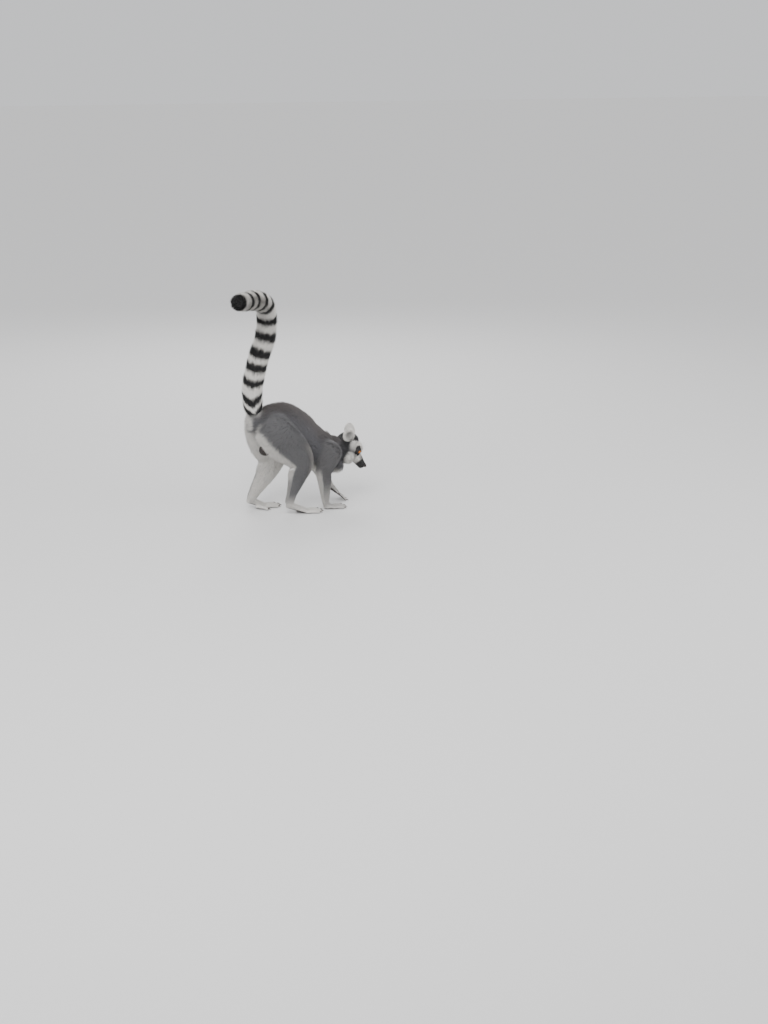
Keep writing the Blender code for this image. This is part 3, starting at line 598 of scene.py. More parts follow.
def head_marks(place):
    """Pale, dark and bare shares over the head, from places in its own frame."""
    x, z = place[:, 0], place[:, 2]
    aside = np.stack([x, np.abs(place[:, 1]), z], axis=1)
    discs = [np.linalg.norm(aside - middle, axis=1) / radius for middle, radius in PATCH]
    patch = rise(1.08, 0.92, np.min(discs, axis=0))
    muzzle = rise(*MUZZLE_DARK, x)
    bridge = rise(3.5, 4.5, x) * rise(0.1, 0.6, z)
    from_crown = unit(place - CRANIUM[0]) @ unit(np.array(CAP_AXIS))
    cap = rise(0.66, 0.78, from_crown + 0.10 * rise(1.0, -2.0, x))
    edge = np.interp(z, *FACE_EDGE)
    behind = rise(edge + 0.3, edge - 0.3, x) * rise(-4.3, -3.5, z)
    grey = np.maximum(cap, behind)
    fade = 0.55 + 0.45 * rise(-5.2, -3.2, x)
    pale = 1.0 - 0.95 * grey
    dark = np.maximum.reduce([0.98 * patch, 0.97 * muzzle, 0.5 * bridge, 0.88 * cap * fade,
                               behind * fade * (0.45 + 0.4 * rise(-3.2, -1.6, z))])
    from_eye = aside - EYE_PLACE
    lids = (rise(0.95, 0.88, np.linalg.norm(from_eye, axis=1))
            * rise(0.28, 0.42, unit(from_eye) @ unit(EYE_GAZE)))
    nose = rise(1.25, 1.05, np.linalg.norm((place - NOSE[0]) / NOSE[1], axis=1)) * rise(6.45, 6.75, x)
    return pale, dark, np.maximum(nose, lids)


def ear_inside(points, normals, side):
    """1 in an ear's hollow, 0 on its rim and back."""
    turn = ear_turn(side)
    own = (points - on_head(mirrored(EAR_ROOT, side))) @ turn - (0.0, 0.0, EAR_HEIGHT * EAR_MIDDLE)
    spread = np.hypot(own[:, 1] / (0.62 * EAR_HALF_WIDTH), own[:, 2] / (0.31 * EAR_HEIGHT))
    return rise(0.1, 0.6, normals @ turn[:, 0]) * rise(1.3, 0.6, spread)


def markings(points, report, normals):
    """Pale, dark, warm and bare shares at each point, the same rules for skin and coat."""
    share = {group: report[group]["weight"] for group in GROUPS}
    height = points[:, 2]
    trunk = report["trunk"]
    belly = rise(-0.42, -0.80, trunk["deep"])
    throat = (rise(6.0, 10.0, points[:, 0]) * rise(-0.05, -0.55, trunk["deep"])
              * rise(-0.3, -0.8, normals[:, 2]))
    rump = rise(4.6, 2.4, trunk["along"]) * rise(-0.25, -0.6, normals[:, 0])
    pale = share["trunk"] * np.maximum.reduce([belly, throat, 0.95 * rump])
    # cleft: darker fur between the thighs at the rear, partly the perineum's own darker fur, partly painted
    # shade of the crotch
    crotch_shade_and_fur = (rise(2.6, 1.3, np.abs(points[:, 1])) * rise(-6.5, -8.0, points[:, 0])
             * rise(15.5, 17.5, height) * rise(25.3, 23.5, height))
    place = in_head(points)
    start = np.interp(place[:, 2], *NAPE_EDGE)
    nape = rise(start - 0.5, start + 0.5, place[:, 0]) * rise(-3.7, -2.7, place[:, 2])
    dark = share["trunk"] * 0.8 * nape
    dark = np.maximum(dark, (share["trunk"] + share["hind_left"] + share["hind_right"]) * 0.5 * crotch_shade_and_fur)
    warm = share["trunk"] * (0.25 + 0.6 * rise(0.2, 0.9, trunk["deep"]))
    bare = np.zeros(len(points))
    for group in LIMBS:
        limb = report[group]
        side = SIDES[group.split("_")[1]]
        inner = rise(-0.2, 0.3, -side * limb["across"]) * rise(-0.1, 0.3, -side * normals[:, 1])
        if kind(group) == "hind":
            rear = rise(-0.46, -0.62, limb["deep"])
            low = rise(6.5, 2.5, height)
            # front: a lighter, warmer band along the thigh's front at its fold with the flank, partly the
            # fur's own warmer tone, partly a painted highlight where light falls on the fold
            front = rise(0.35, 0.8, limb["deep"]) * rise(9.0, 14.0, height) * rise(22.5, 19.0, height)
            warm = warm + share[group] * (0.15 + 0.75 * front)
            rear = rear * (0.45 + 0.55 * rise(9.0, 12.0, height))
            limb_pale = np.maximum.reduce([inner, rear, 0.10 + 0.75 * low, 0.30 * front])
        else:
            rear = rise(-0.25, -0.5, limb["deep"]) * rise(13.5, 10.5, height)
            low = rise(9.0, 3.0, height)
            limb_pale = np.maximum.reduce([0.95 * inner, 0.95 * rear, 0.10 + 0.5 * low])
            warm = warm + share[group] * 0.3
        pale = pale + share[group] * limb_pale
    for group in ("foot_left", "foot_right", "hand_left", "hand_right"):
        sole = rise(-0.35, -0.75, normals[:, 2]) * rise(2.6, 2.0, height)
        # the left hand's dark leather reaches past its palm up its sides: the palm's own bare skin, and
        # painted shade over the hand's sides
        if group == "hand_left":
            palm = np.array(Matrix.Rotation(math.radians(HAND_LEFT["pitch"]), 3, "Y"))[:, 2]
            sole = rise(0.15, -0.35, normals @ palm)
        pale = pale + share[group] * (0.86 if kind(group) == "foot" else 0.62)
        warm = warm + share[group] * 0.45
        bare = bare + share[group] * sole
    for side_name, side in SIDES.items():
        inside = ear_inside(points, normals, side)
        pale = pale + share[f"ear_{side_name}"] * (1.0 - 0.35 * inside)
        dark = dark + share[f"ear_{side_name}"] * 0.3 * inside
    head_pale, head_dark, head_bare = head_marks(in_head(points))
    pale = pale + share["head"] * head_pale
    dark = dark + share["head"] * head_dark
    bare = np.maximum(bare + share["head"] * head_bare, share["scrotum"])
    tail = report["tail"]
    rings = tail_rings(tail["along"], tail["across"], tail["deep"])
    pale = pale + share["tail"] * rise(0.1, 1.5, tail["along"]) * 0.92
    dark = dark + share["tail"] * rings
    return np.clip(np.stack([pale, dark, warm, bare], axis=1), 0.0, 1.0)


def flow(points, report):
    """The way the hair points at each place, before it is laid on the skin."""
    soft = {group: report[group]["soft"][:, None] for group in GROUPS}
    trunk = report["trunk"]
    low = rise(0.9, -0.6, trunk["deep"])
    sweep = soft["trunk"] * (-trunk["line"] + np.outer(0.7 * low, (0.0, 0.0, -1.0)))
    sweep += soft["tail"] * report["tail"]["line"]
    for group in LIMBS:
        limb = report[group]
        top = rise(8.0, 0.0, limb["along"])[:, None]
        sweep += soft[group] * (limb["line"] * (1.0 - 0.8 * top) + (0.25 + 0.9 * top) * (-1.0, 0.0, -0.1))
    for group in ("foot_left", "foot_right", "hand_left", "hand_right"):
        sweep += soft[group] * (1.0, 0.0, -0.25)
    sweep += soft["scrotum"] * (0.0, 0.0, -1.0)
    place = in_head(points)
    away = unit(place - (5.9, 0.0, 0.1)) * (1.0, 1.2, 1.0)
    eye = np.stack([place[:, 0], np.abs(place[:, 1]), place[:, 2]], axis=1) - EYE_PLACE
    from_eye = 1.1 * unit(eye) * rise(2.2, 0.8, np.linalg.norm(eye, axis=1))[:, None]
    from_eye[:, 1] *= np.sign(place[:, 1])
    sweep += soft["head"] * ((away + from_eye) @ HEAD_TURN.T)
    for side_name, side in SIDES.items():
        turn = ear_turn(side)
        sideways = (points - on_head(mirrored(EAR_ROOT, side))) @ turn[:, 1]
        sweep += soft[f"ear_{side_name}"] * (turn[:, 2] + 0.5 * sideways[:, None] * turn[:, 1])
    return unit(sweep)


# ---------------------------------------------------------------- skin

def ear_shell(side):
    """The skin of one ear in metres: an egg-shaped leaf with a hollow taken from its front."""
    turn = ear_turn(side)
    middle = on_head(mirrored(EAR_ROOT, side)) + turn @ (0.0, 0.0, EAR_HEIGHT * EAR_MIDDLE)
    half = np.array([EAR_HALF_DEPTH, EAR_HALF_WIDTH, EAR_HEIGHT / 2])
    back = Egg("ear", middle, half - EAR_COAT, 0.0, turn)
    hollow_middle = middle + turn @ (EAR_CUP_SHIFT - EAR_CUP_NEARER, 0.0, EAR_HEIGHT * EAR_CUP_RISE)
    hollow = Egg("ear", hollow_middle, half * EAR_CUP_SCALE - (0.0, EAR_COAT[1], EAR_COAT[2]), 0.0, turn)
    parts = []
    for name, form in (("ear_leaf", back), ("ear_hollow", hollow)):
        work = bmesh.new()
        form.add_to(work)
        mesh = bpy.data.meshes.new(name)
        work.to_mesh(mesh)
        work.free()
        parts.append(link(name, mesh))
    cut = parts[0].modifiers.new("hollow", "BOOLEAN")
    cut.operation = "DIFFERENCE"
    cut.object = parts[1]
    mesh = plain_mesh(parts[0])
    for part in parts:
        bpy.data.objects.remove(part, do_unlink=True)
    return mesh


def link(name, mesh):
    """An object with that mesh, in the scene."""
    made = bpy.data.objects.new(name, mesh)
    bpy.context.scene.collection.objects.link(made)
    return made


def plain_mesh(item):
    """What an object's modifiers make of it, as a mesh of its own."""
    bpy.context.view_layer.update()
    return bpy.data.meshes.new_from_object(item.evaluated_get(bpy.context.evaluated_depsgraph_get()))


def corners(mesh):
    """A mesh's vertices in centimetres of the animal's frame."""
    flat = np.empty(3 * len(mesh.vertices))
    mesh.vertices.foreach_get("co", flat)
    return flat.reshape(-1, 3) / CM - FRAME_SHIFT


def set_corners(mesh, points):
    """Move a mesh's vertices to places in the animal's frame."""
    mesh.vertices.foreach_set("co", metres(points).ravel())
    mesh.update()


def fused_flesh():
    """One closed surface round all the forms."""
    work = bmesh.new()
    for form in FLESH:
        form.add_to(work)
    for side in SIDES.values():
        work.from_mesh(ear_shell(side))
    mesh = bpy.data.meshes.new("flesh")
    work.to_mesh(mesh)
    work.free()
    flesh = link("flesh", mesh)
    remesh = flesh.modifiers.new("fuse", "REMESH")
    remesh.mode = "VOXEL"
    remesh.voxel_size = VOXEL * CM
    ease = flesh.modifiers.new("ease", "SMOOTH")
    ease.factor = SMOOTH_FACTOR
    ease.iterations = SMOOTH_PASSES
    fused = link("fused", plain_mesh(flesh))
    place = in_head(corners(fused.data))
    face = (np.linalg.norm((place - FACE_MIDDLE) / FACE_HALF, axis=1) < 1.0) & (eye_distance(place) > 0.9)
    report = survey(corners(fused.data))
    hips = np.min([report[group]["out"] for group in LIMBS], axis=0)
    joins = (hips < JOIN_REACH) & (report["trunk"]["out"] < JOIN_REACH)
    for name, chosen, passes in (("cheeks", face, FACE_PASSES), ("joins", joins, JOIN_PASSES)):
        group = fused.vertex_groups.new(name=name)
        group.add(np.flatnonzero(chosen).tolist(), 1.0, "REPLACE")
        ease = fused.modifiers.new(name, "SMOOTH")
        ease.factor = SMOOTH_FACTOR
        ease.iterations = passes
        ease.vertex_group = group.name
    eased = plain_mesh(fused)
    for item in (flesh, fused):
        bpy.data.objects.remove(item, do_unlink=True)
    return eased


def refine(mesh, near_eye, noseward):
    """Cut faces near an eye or past a plane of the head's frame into four, and smooth them a little."""
    work = bmesh.new()
    work.from_mesh(mesh)
    middles = np.array([face.calc_center_median() for face in work.faces]) / CM - FRAME_SHIFT
    place = in_head(middles)
    picked = (eye_distance(place) < near_eye) | (place[:, 0] > noseward)
    work.faces.ensure_lookup_table()
    edges = {edge for index in np.flatnonzero(picked) for edge in work.faces[index].edges}
    bmesh.ops.subdivide_edges(work, edges=list(edges), cuts=1, use_grid_fill=True, smooth=0.6)
    work.to_mesh(mesh)
    work.free()
    mesh.update()


def eye_axes(side):
    """An eye's own axes in the head's frame: X out along its gaze, Y outwards, Z up."""
    gaze = unit(np.array([EYE_GAZE[0], EYE_GAZE[1] * side, EYE_GAZE[2]]))
    outward = unit(np.cross((0.0, 0.0, 1.0), gaze)) * side
    upward = np.cross(gaze, outward) * side
    return np.stack([gaze, outward, upward], axis=1)


def open_lids(place):
    """Press the skin under the eyeball inside an almond opening, and round the lids over it."""
    for side in SIDES.values():
        own = (place - mirrored(EYE_PLACE, side)) @ eye_axes(side)
        far = np.linalg.norm(own, axis=1)
        across = np.arctan2(own[:, 1], own[:, 0])
        up = np.arctan2(own[:, 2], own[:, 0]) + LID_TILT * across
        almond = np.sqrt((across / LID_OPEN[0]) ** 2 + (up / (LID_OPEN[1] * (1.0 - 0.25 * across ** 2))) ** 2)
        almond[own[:, 0] < 0.05] = 9.0
        rim, fold = (height * np.exp(-((almond - middle) / width) ** 2) for height, middle, width in
                     (LID_RIM, LID_FOLD))
        lid = LID_RADIUS + rim - fold
        wanted = EYE_HOLLOW + (lid - EYE_HOLLOW) * rise(0.94, 1.07, almond)
        hold = rise(2.1, 1.35, almond) * rise(1.9, 1.3, far)
        place = place + ((wanted - far) * hold / np.maximum(far, 0.01))[:, None] * (own @ eye_axes(side).T)
    return place


def from_line(places, points):
    """Distance of places to a line through points."""
    least = np.full(len(places), 9.0)
    points = np.array(points, dtype=float)
    for start, end in zip(points, points[1:]):
        span = end - start
        share = np.clip((places - start) @ span / (span @ span), 0.0, 1.0)
        least = np.minimum(least, np.linalg.norm(places - start - share[:, None] * span, axis=1))
    return least


def muzzle_folds(place):
    """How deep the mouth line, nostrils and the groove under the nose are pressed in."""
    aside = np.stack([place[:, 0], np.abs(place[:, 1]), place[:, 2]], axis=1)
    mouth = (MOUTH_DEPTH * np.exp(-(from_line(place[:, [0, 2]], MOUTH) / 0.06) ** 2)
             * rise(2.8, 3.4, place[:, 0]))
    nostril = NOSTRIL_DEPTH * np.exp(-(from_line(aside, NOSTRIL) / 0.085) ** 2)
    groove = (LIP_GROOVE * np.exp(-(place[:, 1] / 0.05) ** 2) * rise(6.75, 7.05, place[:, 0])
              * rise(-1.0, -0.9, place[:, 2]) * rise(0.1, 0.0, place[:, 2]))
    rim = NOSTRIL_RIM * np.exp(-((from_line(aside, NOSTRIL) - 0.17) / 0.07) ** 2)
    under_eye = UNDER_EYE * np.exp(-((eye_distance(place) - 1.12) / 0.1) ** 2) * rise(1.4, 0.8, place[:, 2])
    return mouth + nostril + groove - rim + under_eye


def normals_of(mesh):
    """A mesh's vertex normals."""
    flat = np.empty(3 * len(mesh.vertices))
    mesh.vertices.foreach_get("normal", flat)
    return flat.reshape(-1, 3)


def eye_distance(place):
    """How far each place of the head's frame is from the nearer eye's middle."""
    aside = np.stack([place[:, 0], np.abs(place[:, 1]), place[:, 2]], axis=1)
    return np.linalg.norm(aside - EYE_PLACE, axis=1)


def sculpt(mesh):
    """Lids, nostrils, mouth and flat soles on the fused flesh."""
    for near_eye, noseward in FINER:
        refine(mesh, near_eye, noseward)
    points = corners(mesh)
    place = in_head(points)
    near = place[:, 0] > 0.5
    near &= report_out(points, "head") < 1.6
    place[near] = open_lids(place[near])
    points[near] = on_head(place[near])
    set_corners(mesh, points)
    depth = np.where(near, muzzle_folds(place), 0.0)
    points = points - normals_of(mesh) * depth[:, None]
    points[:, 2] = np.maximum(points[:, 2], SOLE_LEVEL)
    set_corners(mesh, points)


def report_out(points, group):
    """How far out of a group's forms each point is."""
    return np.min([form.read(points)[0] for form in FLESH if form.group == group], axis=0)


# ---------------------------------------------------------------- coat

class Skin:
    """The skin's triangles, to scatter roots over."""

    def __init__(self, item):
        mesh = item.data
        mesh.calc_loop_triangles()
        count = len(mesh.loop_triangles)
        flat = np.empty(3 * count, dtype=np.int32)
        mesh.loop_triangles.foreach_get("vertices", flat)
        self.triangles = flat.reshape(-1, 3)
        self.points = corners(mesh)
        self.normals = normals_of(mesh)
        first, second, third = (self.points[self.triangles[:, order]] for order in range(3))
        self.area = 0.5 * np.linalg.norm(np.cross(second - first, third - first), axis=1)
        self.middles = (first + second + third) / 3.0

    def scatter(self, density, total, rng):
        """Places and normals of total roots, density of them to each share of the area."""
        sums = np.cumsum(self.area * density)
        picks = (np.arange(total) + rng.random(total)) / total * sums[-1]
        chosen = self.triangles[np.minimum(np.searchsorted(sums, picks), len(self.triangles) - 1)]
        first = np.sqrt(rng.random(total))
        second = rng.random(total)
        share = np.stack([1.0 - first, first * (1.0 - second), first * second], axis=1)[:, :, None]
        return (self.points[chosen] * share).sum(1), unit((self.normals[chosen] * share).sum(1))


def by_group(report, table):
    """A table's number for each point, mixed by the groups' weights."""
    return sum(report[group]["weight"] * table[kind(group)] for group in GROUPS)


def coat_depth(points, normals, report):
    """How far the coat stands over the skin, in centimetres."""
    depth = sum(report[group]["soft"] * report[group]["coat"] for group in GROUPS)
    depth = blend(depth, LID_COAT, rise(1.25, 0.8, eye_distance(in_head(points))) * report["head"]["weight"])
    for side_name, side in SIDES.items():
        inside = ear_inside(points, normals, side) * report[f"ear_{side_name}"]["weight"]
        depth = blend(depth, EAR_INNER_COAT, inside)
    return depth


def turned(vectors, axes, angles):
    """Vectors turned about unit axes at right angles to them."""
    return vectors * np.cos(angles)[:, None] + np.cross(axes, vectors) * np.sin(angles)[:, None]


def swirl(points):
    """A slow waviness of the lie of the coat, from -1 to 1."""
    x, y, z = points.T
    first = np.sin(1.1 * x + 0.7 * z + 1.3 * np.sin(0.9 * y))
    second = np.sin(0.8 * z - 1.2 * y + 2.0 + np.sin(0.7 * x))
    return 0.5 * (first + second)


def make_tufts(skin, settings, rng):
    """Roots, corners and markings of every tuft."""
    report = survey(skin.middles)
    middle_marks = markings(skin.middles, report, unit(skin.normals[skin.triangles].sum(1)))
    density = by_group(report, DENSITY) * rise(0.5, 0.15, middle_marks[:, 3])
    roots, normals = skin.scatter(density, settings.tuft_count, rng)
    report = survey(roots)
    depth = coat_depth(roots, normals, report)
    sweep = flow(roots, report)
    lie = unit(sweep - normals * (sweep * normals).sum(1)[:, None])
    count = len(roots)
    lie = turned(lie, normals, rng.normal(0.0, TUFT_WAVER, count) + TUFT_SWIRL * swirl(roots))
    height = depth * (TUFT_HEIGHT[0] + TUFT_HEIGHT[1] * rng.random(count) ** TUFT_HEIGHT[2])
    length = depth * by_group(report, LENGTH_OVER_DEPTH) * rng.uniform(*TUFT_LENGTHS, count)
    tail_end = TAIL_LINE.reach[-1]
    at_tip = report["tail"]["weight"] * rise(tail_end - 2.0, tail_end + 0.3, report["tail"]["along"])
    length = np.maximum(length, TUFT_LEAST) * settings.tuft_length * (1.0 - TIP_SHORTER * at_tip)
    ahead = np.sqrt(np.maximum(length ** 2 - height ** 2, 0.0))
    knees = roots + normals * (TUFT_KNEE[0] * height)[:, None] + lie * (TUFT_KNEE[1] * ahead)[:, None]
    tips = roots + normals * height[:, None] + lie * ahead[:, None]
    knees, tips = clumped(roots, knees, tips, depth, rng)
    half = by_group(report, HALF_WIDTH) * rng.uniform(*TUFT_WIDTHS, count) * settings.tuft_width
    course = unit(tips - roots)
    wide_way = unit(np.cross(course, normals))
    deep_way = np.cross(wide_way, course)
    points = np.empty((count, TUFT_POINTS, 3))
    points[:, 0] = roots - normals * np.minimum(TUFT_ROOT[0], TUFT_ROOT[1] * depth)[:, None]
    for order, turn in enumerate(KNEE_TURNS):
        points[:, 1 + order] = (knees + wide_way * (half * math.cos(turn))[:, None]
                                + deep_way * (TUFT_FLATNESS * half * math.sin(turn))[:, None])
    points[:, 4] = tips
    points[:, :, 2] = np.maximum(points[:, :, 2], SOLE_LEVEL)
    visible = blend(roots, tips, np.full(count, TUFT_MARK))
    marks = markings(visible, survey(visible), normals)
    return {"roots": roots, "points": points, "marks": marks, "report": report,
            "chance": rng.random(count)}


def clumped(roots, knees, tips, depth, rng):
    """Draw neighbouring tips together into locks."""
    count = len(roots)
    heads = rng.choice(count, count // LOCK_TUFTS, replace=False)
    tree = KDTree(len(heads))
    for order, place in enumerate(roots[heads]):
        tree.insert(place, order)
    tree.balance()
    own = heads[np.array([tree.find(place)[1] for place in roots])]
    pull = LOCK_PULL * rise(0.1, 0.8, depth) * rng.uniform(0.5, 1.2, count)
    shift = tips[own] - tips
    far = np.linalg.norm(shift, axis=1)
    pull = pull * rise(1.6, 0.8, far / np.maximum(depth, 0.2))
    return knees + shift * (KNEE_SHARE * pull)[:, None], tips + shift * pull[:, None]


def unwrap(group, points, report):
    """A place on the group's own unwrap, from 0 to 1 each way."""
    seen = report[group]
    if kind(group) in ("trunk", "tail", "hind", "fore"):
        form = next(form for form in FLESH if form.group == group)
        first = seen["along"] / form.reach[-1]
        second = np.arctan2(seen["across"], seen["deep"]) / (2 * math.pi) + 0.5
    else:
        centres = [form.centre.reshape(-1, 3).mean(0) for form in FLESH + EARS if form.group == group]
        centre = on_head(HEAD_MIDDLE) if group == "head" else np.mean(centres, axis=0)
        away = unit(points - centre)
        if group == "head":
            away = away @ HEAD_TURN
        first = np.arctan2(away[:, 1], -away[:, 0]) / (2 * math.pi) + 0.5
        second = np.arccos(np.clip(away[:, 2], -1.0, 1.0)) / math.pi
    return np.clip(np.stack([first, second], axis=1), 0.0, 1.0)


COATS = {
    "coat_tail_low": (("tail",), lambda seen: seen["tail"]["along"] < TAIL_PARTED),
    "coat_tail_high": (("tail",), lambda seen: seen["tail"]["along"] >= TAIL_PARTED),
    "coat_neck": (("trunk",), lambda seen: seen["trunk"]["along"] >= NECK_STARTS),
    "coat_trunk_left": (("trunk",), lambda seen: ((seen["trunk"]["along"] < NECK_STARTS)
                                                  & (seen["trunk"]["across"] >= 0))),
    "coat_trunk_right": (("trunk",), lambda seen: ((seen["trunk"]["along"] < NECK_STARTS)
                                                   & (seen["trunk"]["across"] < 0))),
    "coat_hind_left": (("hind_left",), None),
    "coat_hind_right": (("hind_right",), None),
    "coat_forelegs": (("fore_left", "fore_right"), None),
    "coat_paws": (("foot_left", "foot_right", "hand_left", "hand_right", "scrotum"), None),
    "coat_face": (("head",), lambda seen: in_head(seen["points"])[:, 0] >= CROWN_ENDS),
    "coat_crown": (("head",), lambda seen: in_head(seen["points"])[:, 0] < CROWN_ENDS),
    "coat_ears": (("ear_left", "ear_right"), None),
}


def coat_mesh(name, tufts, groups, chosen):
    """One coat piece: its tufts as one mesh with their markings and their patches on the unwrap."""
    count = len(chosen)
    mesh = bpy.data.meshes.new(name)
    mesh.vertices.add(TUFT_POINTS * count)
    mesh.loops.add(3 * TUFT_SIDES * count)
    mesh.polygons.add(TUFT_SIDES * count)
    mesh.vertices.foreach_set("co", metres(tufts["points"][chosen].reshape(-1, 3)).ravel())
    faces = (TUFT_FACES[None] + TUFT_POINTS * np.arange(count)[:, None, None]).astype(np.int32)
    mesh.loops.foreach_set("vertex_index", faces.ravel())
    mesh.polygons.foreach_set("loop_start", np.arange(0, 3 * TUFT_SIDES * count, 3, dtype=np.int32))
    mesh.polygons.foreach_set("loop_total", np.full(TUFT_SIDES * count, 3, dtype=np.int32))
    mesh.polygons.foreach_set("use_smooth", np.ones(TUFT_SIDES * count, dtype=bool))
    mesh.update(calc_edges=True)
    marks = np.repeat(tufts["marks"][chosen], TUFT_POINTS, axis=0)
    for order, mark in enumerate(("pale", "dark", "warm")):
        give(mesh, mark, marks[:, order])
    give(mesh, "chance", np.repeat(tufts["chance"][chosen], TUFT_POINTS))
    give(mesh, "tipward", np.tile(TIPWARD, count))
    places = np.zeros((count, 2))
    weights = np.array([tufts["report"][group]["weight"][chosen] for group in groups])
    owner = weights.argmax(0)
    for row, group in enumerate(groups):
        mine = np.flatnonzero(owner == row)
        seen = {group: {key: value[chosen[mine]] for key, value in tufts["report"][group].items()}}
        spot = unwrap(group, tufts["roots"][chosen[mine]], seen)
        places[mine] = (0.004 + 0.992 * spot[:, 0])[:, None] * (1, 0) + np.stack(
            [np.zeros(len(mine)), (row + 0.01 + 0.98 * spot[:, 1]) / len(groups)], axis=1)
    patch = (places[:, None] + TUFT_PATCH[None])[:, TUFT_FACES.ravel()]
    mesh.uv_layers.new(name="OFBake").data.foreach_set("uv", patch.reshape(-1).astype(np.float32))
    return mesh


def give(mesh, name, values):
    """A number for each vertex, under a name that the materials read."""
    made = mesh.attributes.new(name, "FLOAT", "POINT")
    made.data.foreach_set("value", np.asarray(values, dtype=np.float32))


# ---------------------------------------------------------------- materials

def linear(red, green, blue):
    """A colour as seen on a screen, 0 to 255, as the shader's numbers."""
    seen = np.array([red, green, blue]) / 255.0
    return tuple(np.where(seen <= 0.04045, seen / 12.92, ((seen + 0.055) / 1.055) ** 2.4))


class Value:
    """A shader socket that takes part in Python arithmetic by adding Math nodes."""

    def __init__(self, tree, socket):
        self.tree = tree
        self.socket = socket

    def math(self, operation, *others, flipped=False):
        """A Math node on this value and others."""
        node = self.tree.nodes.new("ShaderNodeMath")
        node.operation = operation
        values = (*others, self) if flipped else (self, *others)
        for slot, value in zip(node.inputs, values):
            if isinstance(value, Value):
                self.tree.links.new(value.socket, slot)
            else:
                slot.default_value = value
        return Value(self.tree, node.outputs[0])

    def __add__(self, other):
        return self.math("ADD", other)

    def __radd__(self, other):
        return self.math("ADD", other)

    def __sub__(self, other):
        return self.math("SUBTRACT", other)

    def __rsub__(self, other):
        return self.math("SUBTRACT", other, flipped=True)

    def __mul__(self, other):
        return self.math("MULTIPLY", other)

    def __rmul__(self, other):
        return self.math("MULTIPLY", other)

    def __truediv__(self, other):
        return self.math("DIVIDE", other)

    def within(self):
        """This value kept from 0 to 1."""
        return self.math("MINIMUM", 1.0).math("MAXIMUM", 0.0)


class Shader:
    """A material's node tree, with one method that adds any node."""

    def __init__(self, name):
        self.material = bpy.data.materials.new(name)
        self.material.use_nodes = True
        self.tree = self.material.node_tree
        self.surface = self.tree.nodes["Principled BSDF"]

    def node(self, kind_name, settings=None, inputs=None, output=0):
        """Add a node: its settings first, then values or links for its sockets."""
        made = self.tree.nodes.new(kind_name)
        for key, value in (settings or {}).items():
            setattr(made, key, value)
        for key, value in (inputs or {}).items():
            self.put(made.inputs[key], value)
        return Value(self.tree, made.outputs[output])

    def put(self, slot, value):
        """Link or set one socket."""
        if isinstance(value, Value):
            self.tree.links.new(value.socket, slot)
        elif isinstance(value, tuple) and len(value) == 3 and len(slot.default_value) == 4:
            slot.default_value = (*value, 1.0)
        else:
            slot.default_value = value

    def mark(self, name):
        """A number that the mesh carries under a name."""
        return self.node("ShaderNodeAttribute", {"attribute_name": name}, output="Fac")

    def place(self):
        """The place on the animal, in metres of the frame."""
        return self.node("ShaderNodeTexCoord", output="Object")

    def noise(self, scale, detail=3.0, roughness=0.6, where=None):
        """Noise of a scale per metre, around 0.5."""
        return self.node("ShaderNodeTexNoise", inputs={"Vector": where or self.place(), "Scale": scale,
                                                       "Detail": detail, "Roughness": roughness})

    def mix(self, share, first, second, how="MIX"):
        """Two colours mixed."""
        return self.node("ShaderNodeMix", {"data_type": "RGBA", "blend_type": how},
                         {0: share, 6: first, 7: second}, output=2)

    def bump(self, height, strength, distance):
        """Fine relief."""
        return self.node("ShaderNodeBump",
                         inputs={"Height": height, "Strength": strength, "Distance": distance})

    def finish(self, **values):
        """Set or link the surface's own sockets."""
        for key, value in values.items():
            self.put(self.surface.inputs[key.replace("_", " ").title().replace("Ior", "IOR")], value)
        return self.material


def coat_colour(shader, settings, tipward, chance):
    """The coat's colour from the markings, with painted shade that darkens each tuft towards its root, and
    flecked from tuft to tuft.
    """
    drift = shader.noise(38.0)
    fleck = (chance - 0.5) * 0.5 + (drift - 0.5) * 0.5
    warm = (shader.mark("warm") * 0.85 + fleck * 0.4).within()
    grey = shader.mix(warm, tuple(settings.grey), tuple(settings.brown))
    pale = shader.mix((fleck * 0.7 + 0.35).within(), tuple(settings.white), tuple(settings.cream))
    colour = shader.mix(shader.mark("pale"), grey, pale)
    colour = shader.mix(shader.mark("dark"), colour, tuple(settings.black))
    # light: painted shade deep in the coat, darker towards each tuft's root, with flecks of the hair's own
    # random tone
    light = 0.66 + 0.40 * tipward + fleck * 0.5
    shade_and_fleck_grey = shader.node("ShaderNodeCombineColor", inputs={0: light, 1: light, 2: light})
    return shader.mix(1.0, colour, shade_and_fleck_grey, "MULTIPLY")


def coat_material(settings):
    """Hair: colour by markings, a soft sheen and no gloss."""
    shader = Shader("coat")
    colour = coat_colour(shader, settings, shader.mark("tipward"), shader.mark("chance"))
    shader.surface.inputs["Sheen Weight"].default_value = 0.18
    shader.surface.inputs["Sheen Roughness"].default_value = 0.4
    shader.surface.inputs["Specular IOR Level"].default_value = 0.28
    return shader.finish(base_color=colour, roughness=0.62)


def skin_material(settings):
    """Short fur and the shade under long fur, and bare leather where the hair ends."""
    shader = Shader("skin")
    bare = shader.mark("bare")
    streaks = shader.noise(900.0, detail=2.0)
    # painted shade under the coat: the skin takes the coat's colour darkened as at the tufts' roots, in fine
    # streaks
    under = coat_colour(shader, settings, streaks * 0.8, shader.noise(300.0))
    creases = shader.node("ShaderNodeTexVoronoi", {"feature": "DISTANCE_TO_EDGE"},
                          {"Vector": shader.place(), "Scale": 900.0})
    leather = shader.mix(shader.noise(500.0), tuple(settings.leather), linear(52, 44, 41))
    relief = streaks * (1.0 - bare) + creases * bare * 6.0
    roughness = 0.8 - bare * 0.36
    shader.surface.inputs["Specular IOR Level"].default_value = 0.4
    colour = shader.mix(bare, under, leather)
    return shader.finish(base_color=colour, roughness=roughness,
                         normal=shader.bump(relief, 0.35, 0.0004))


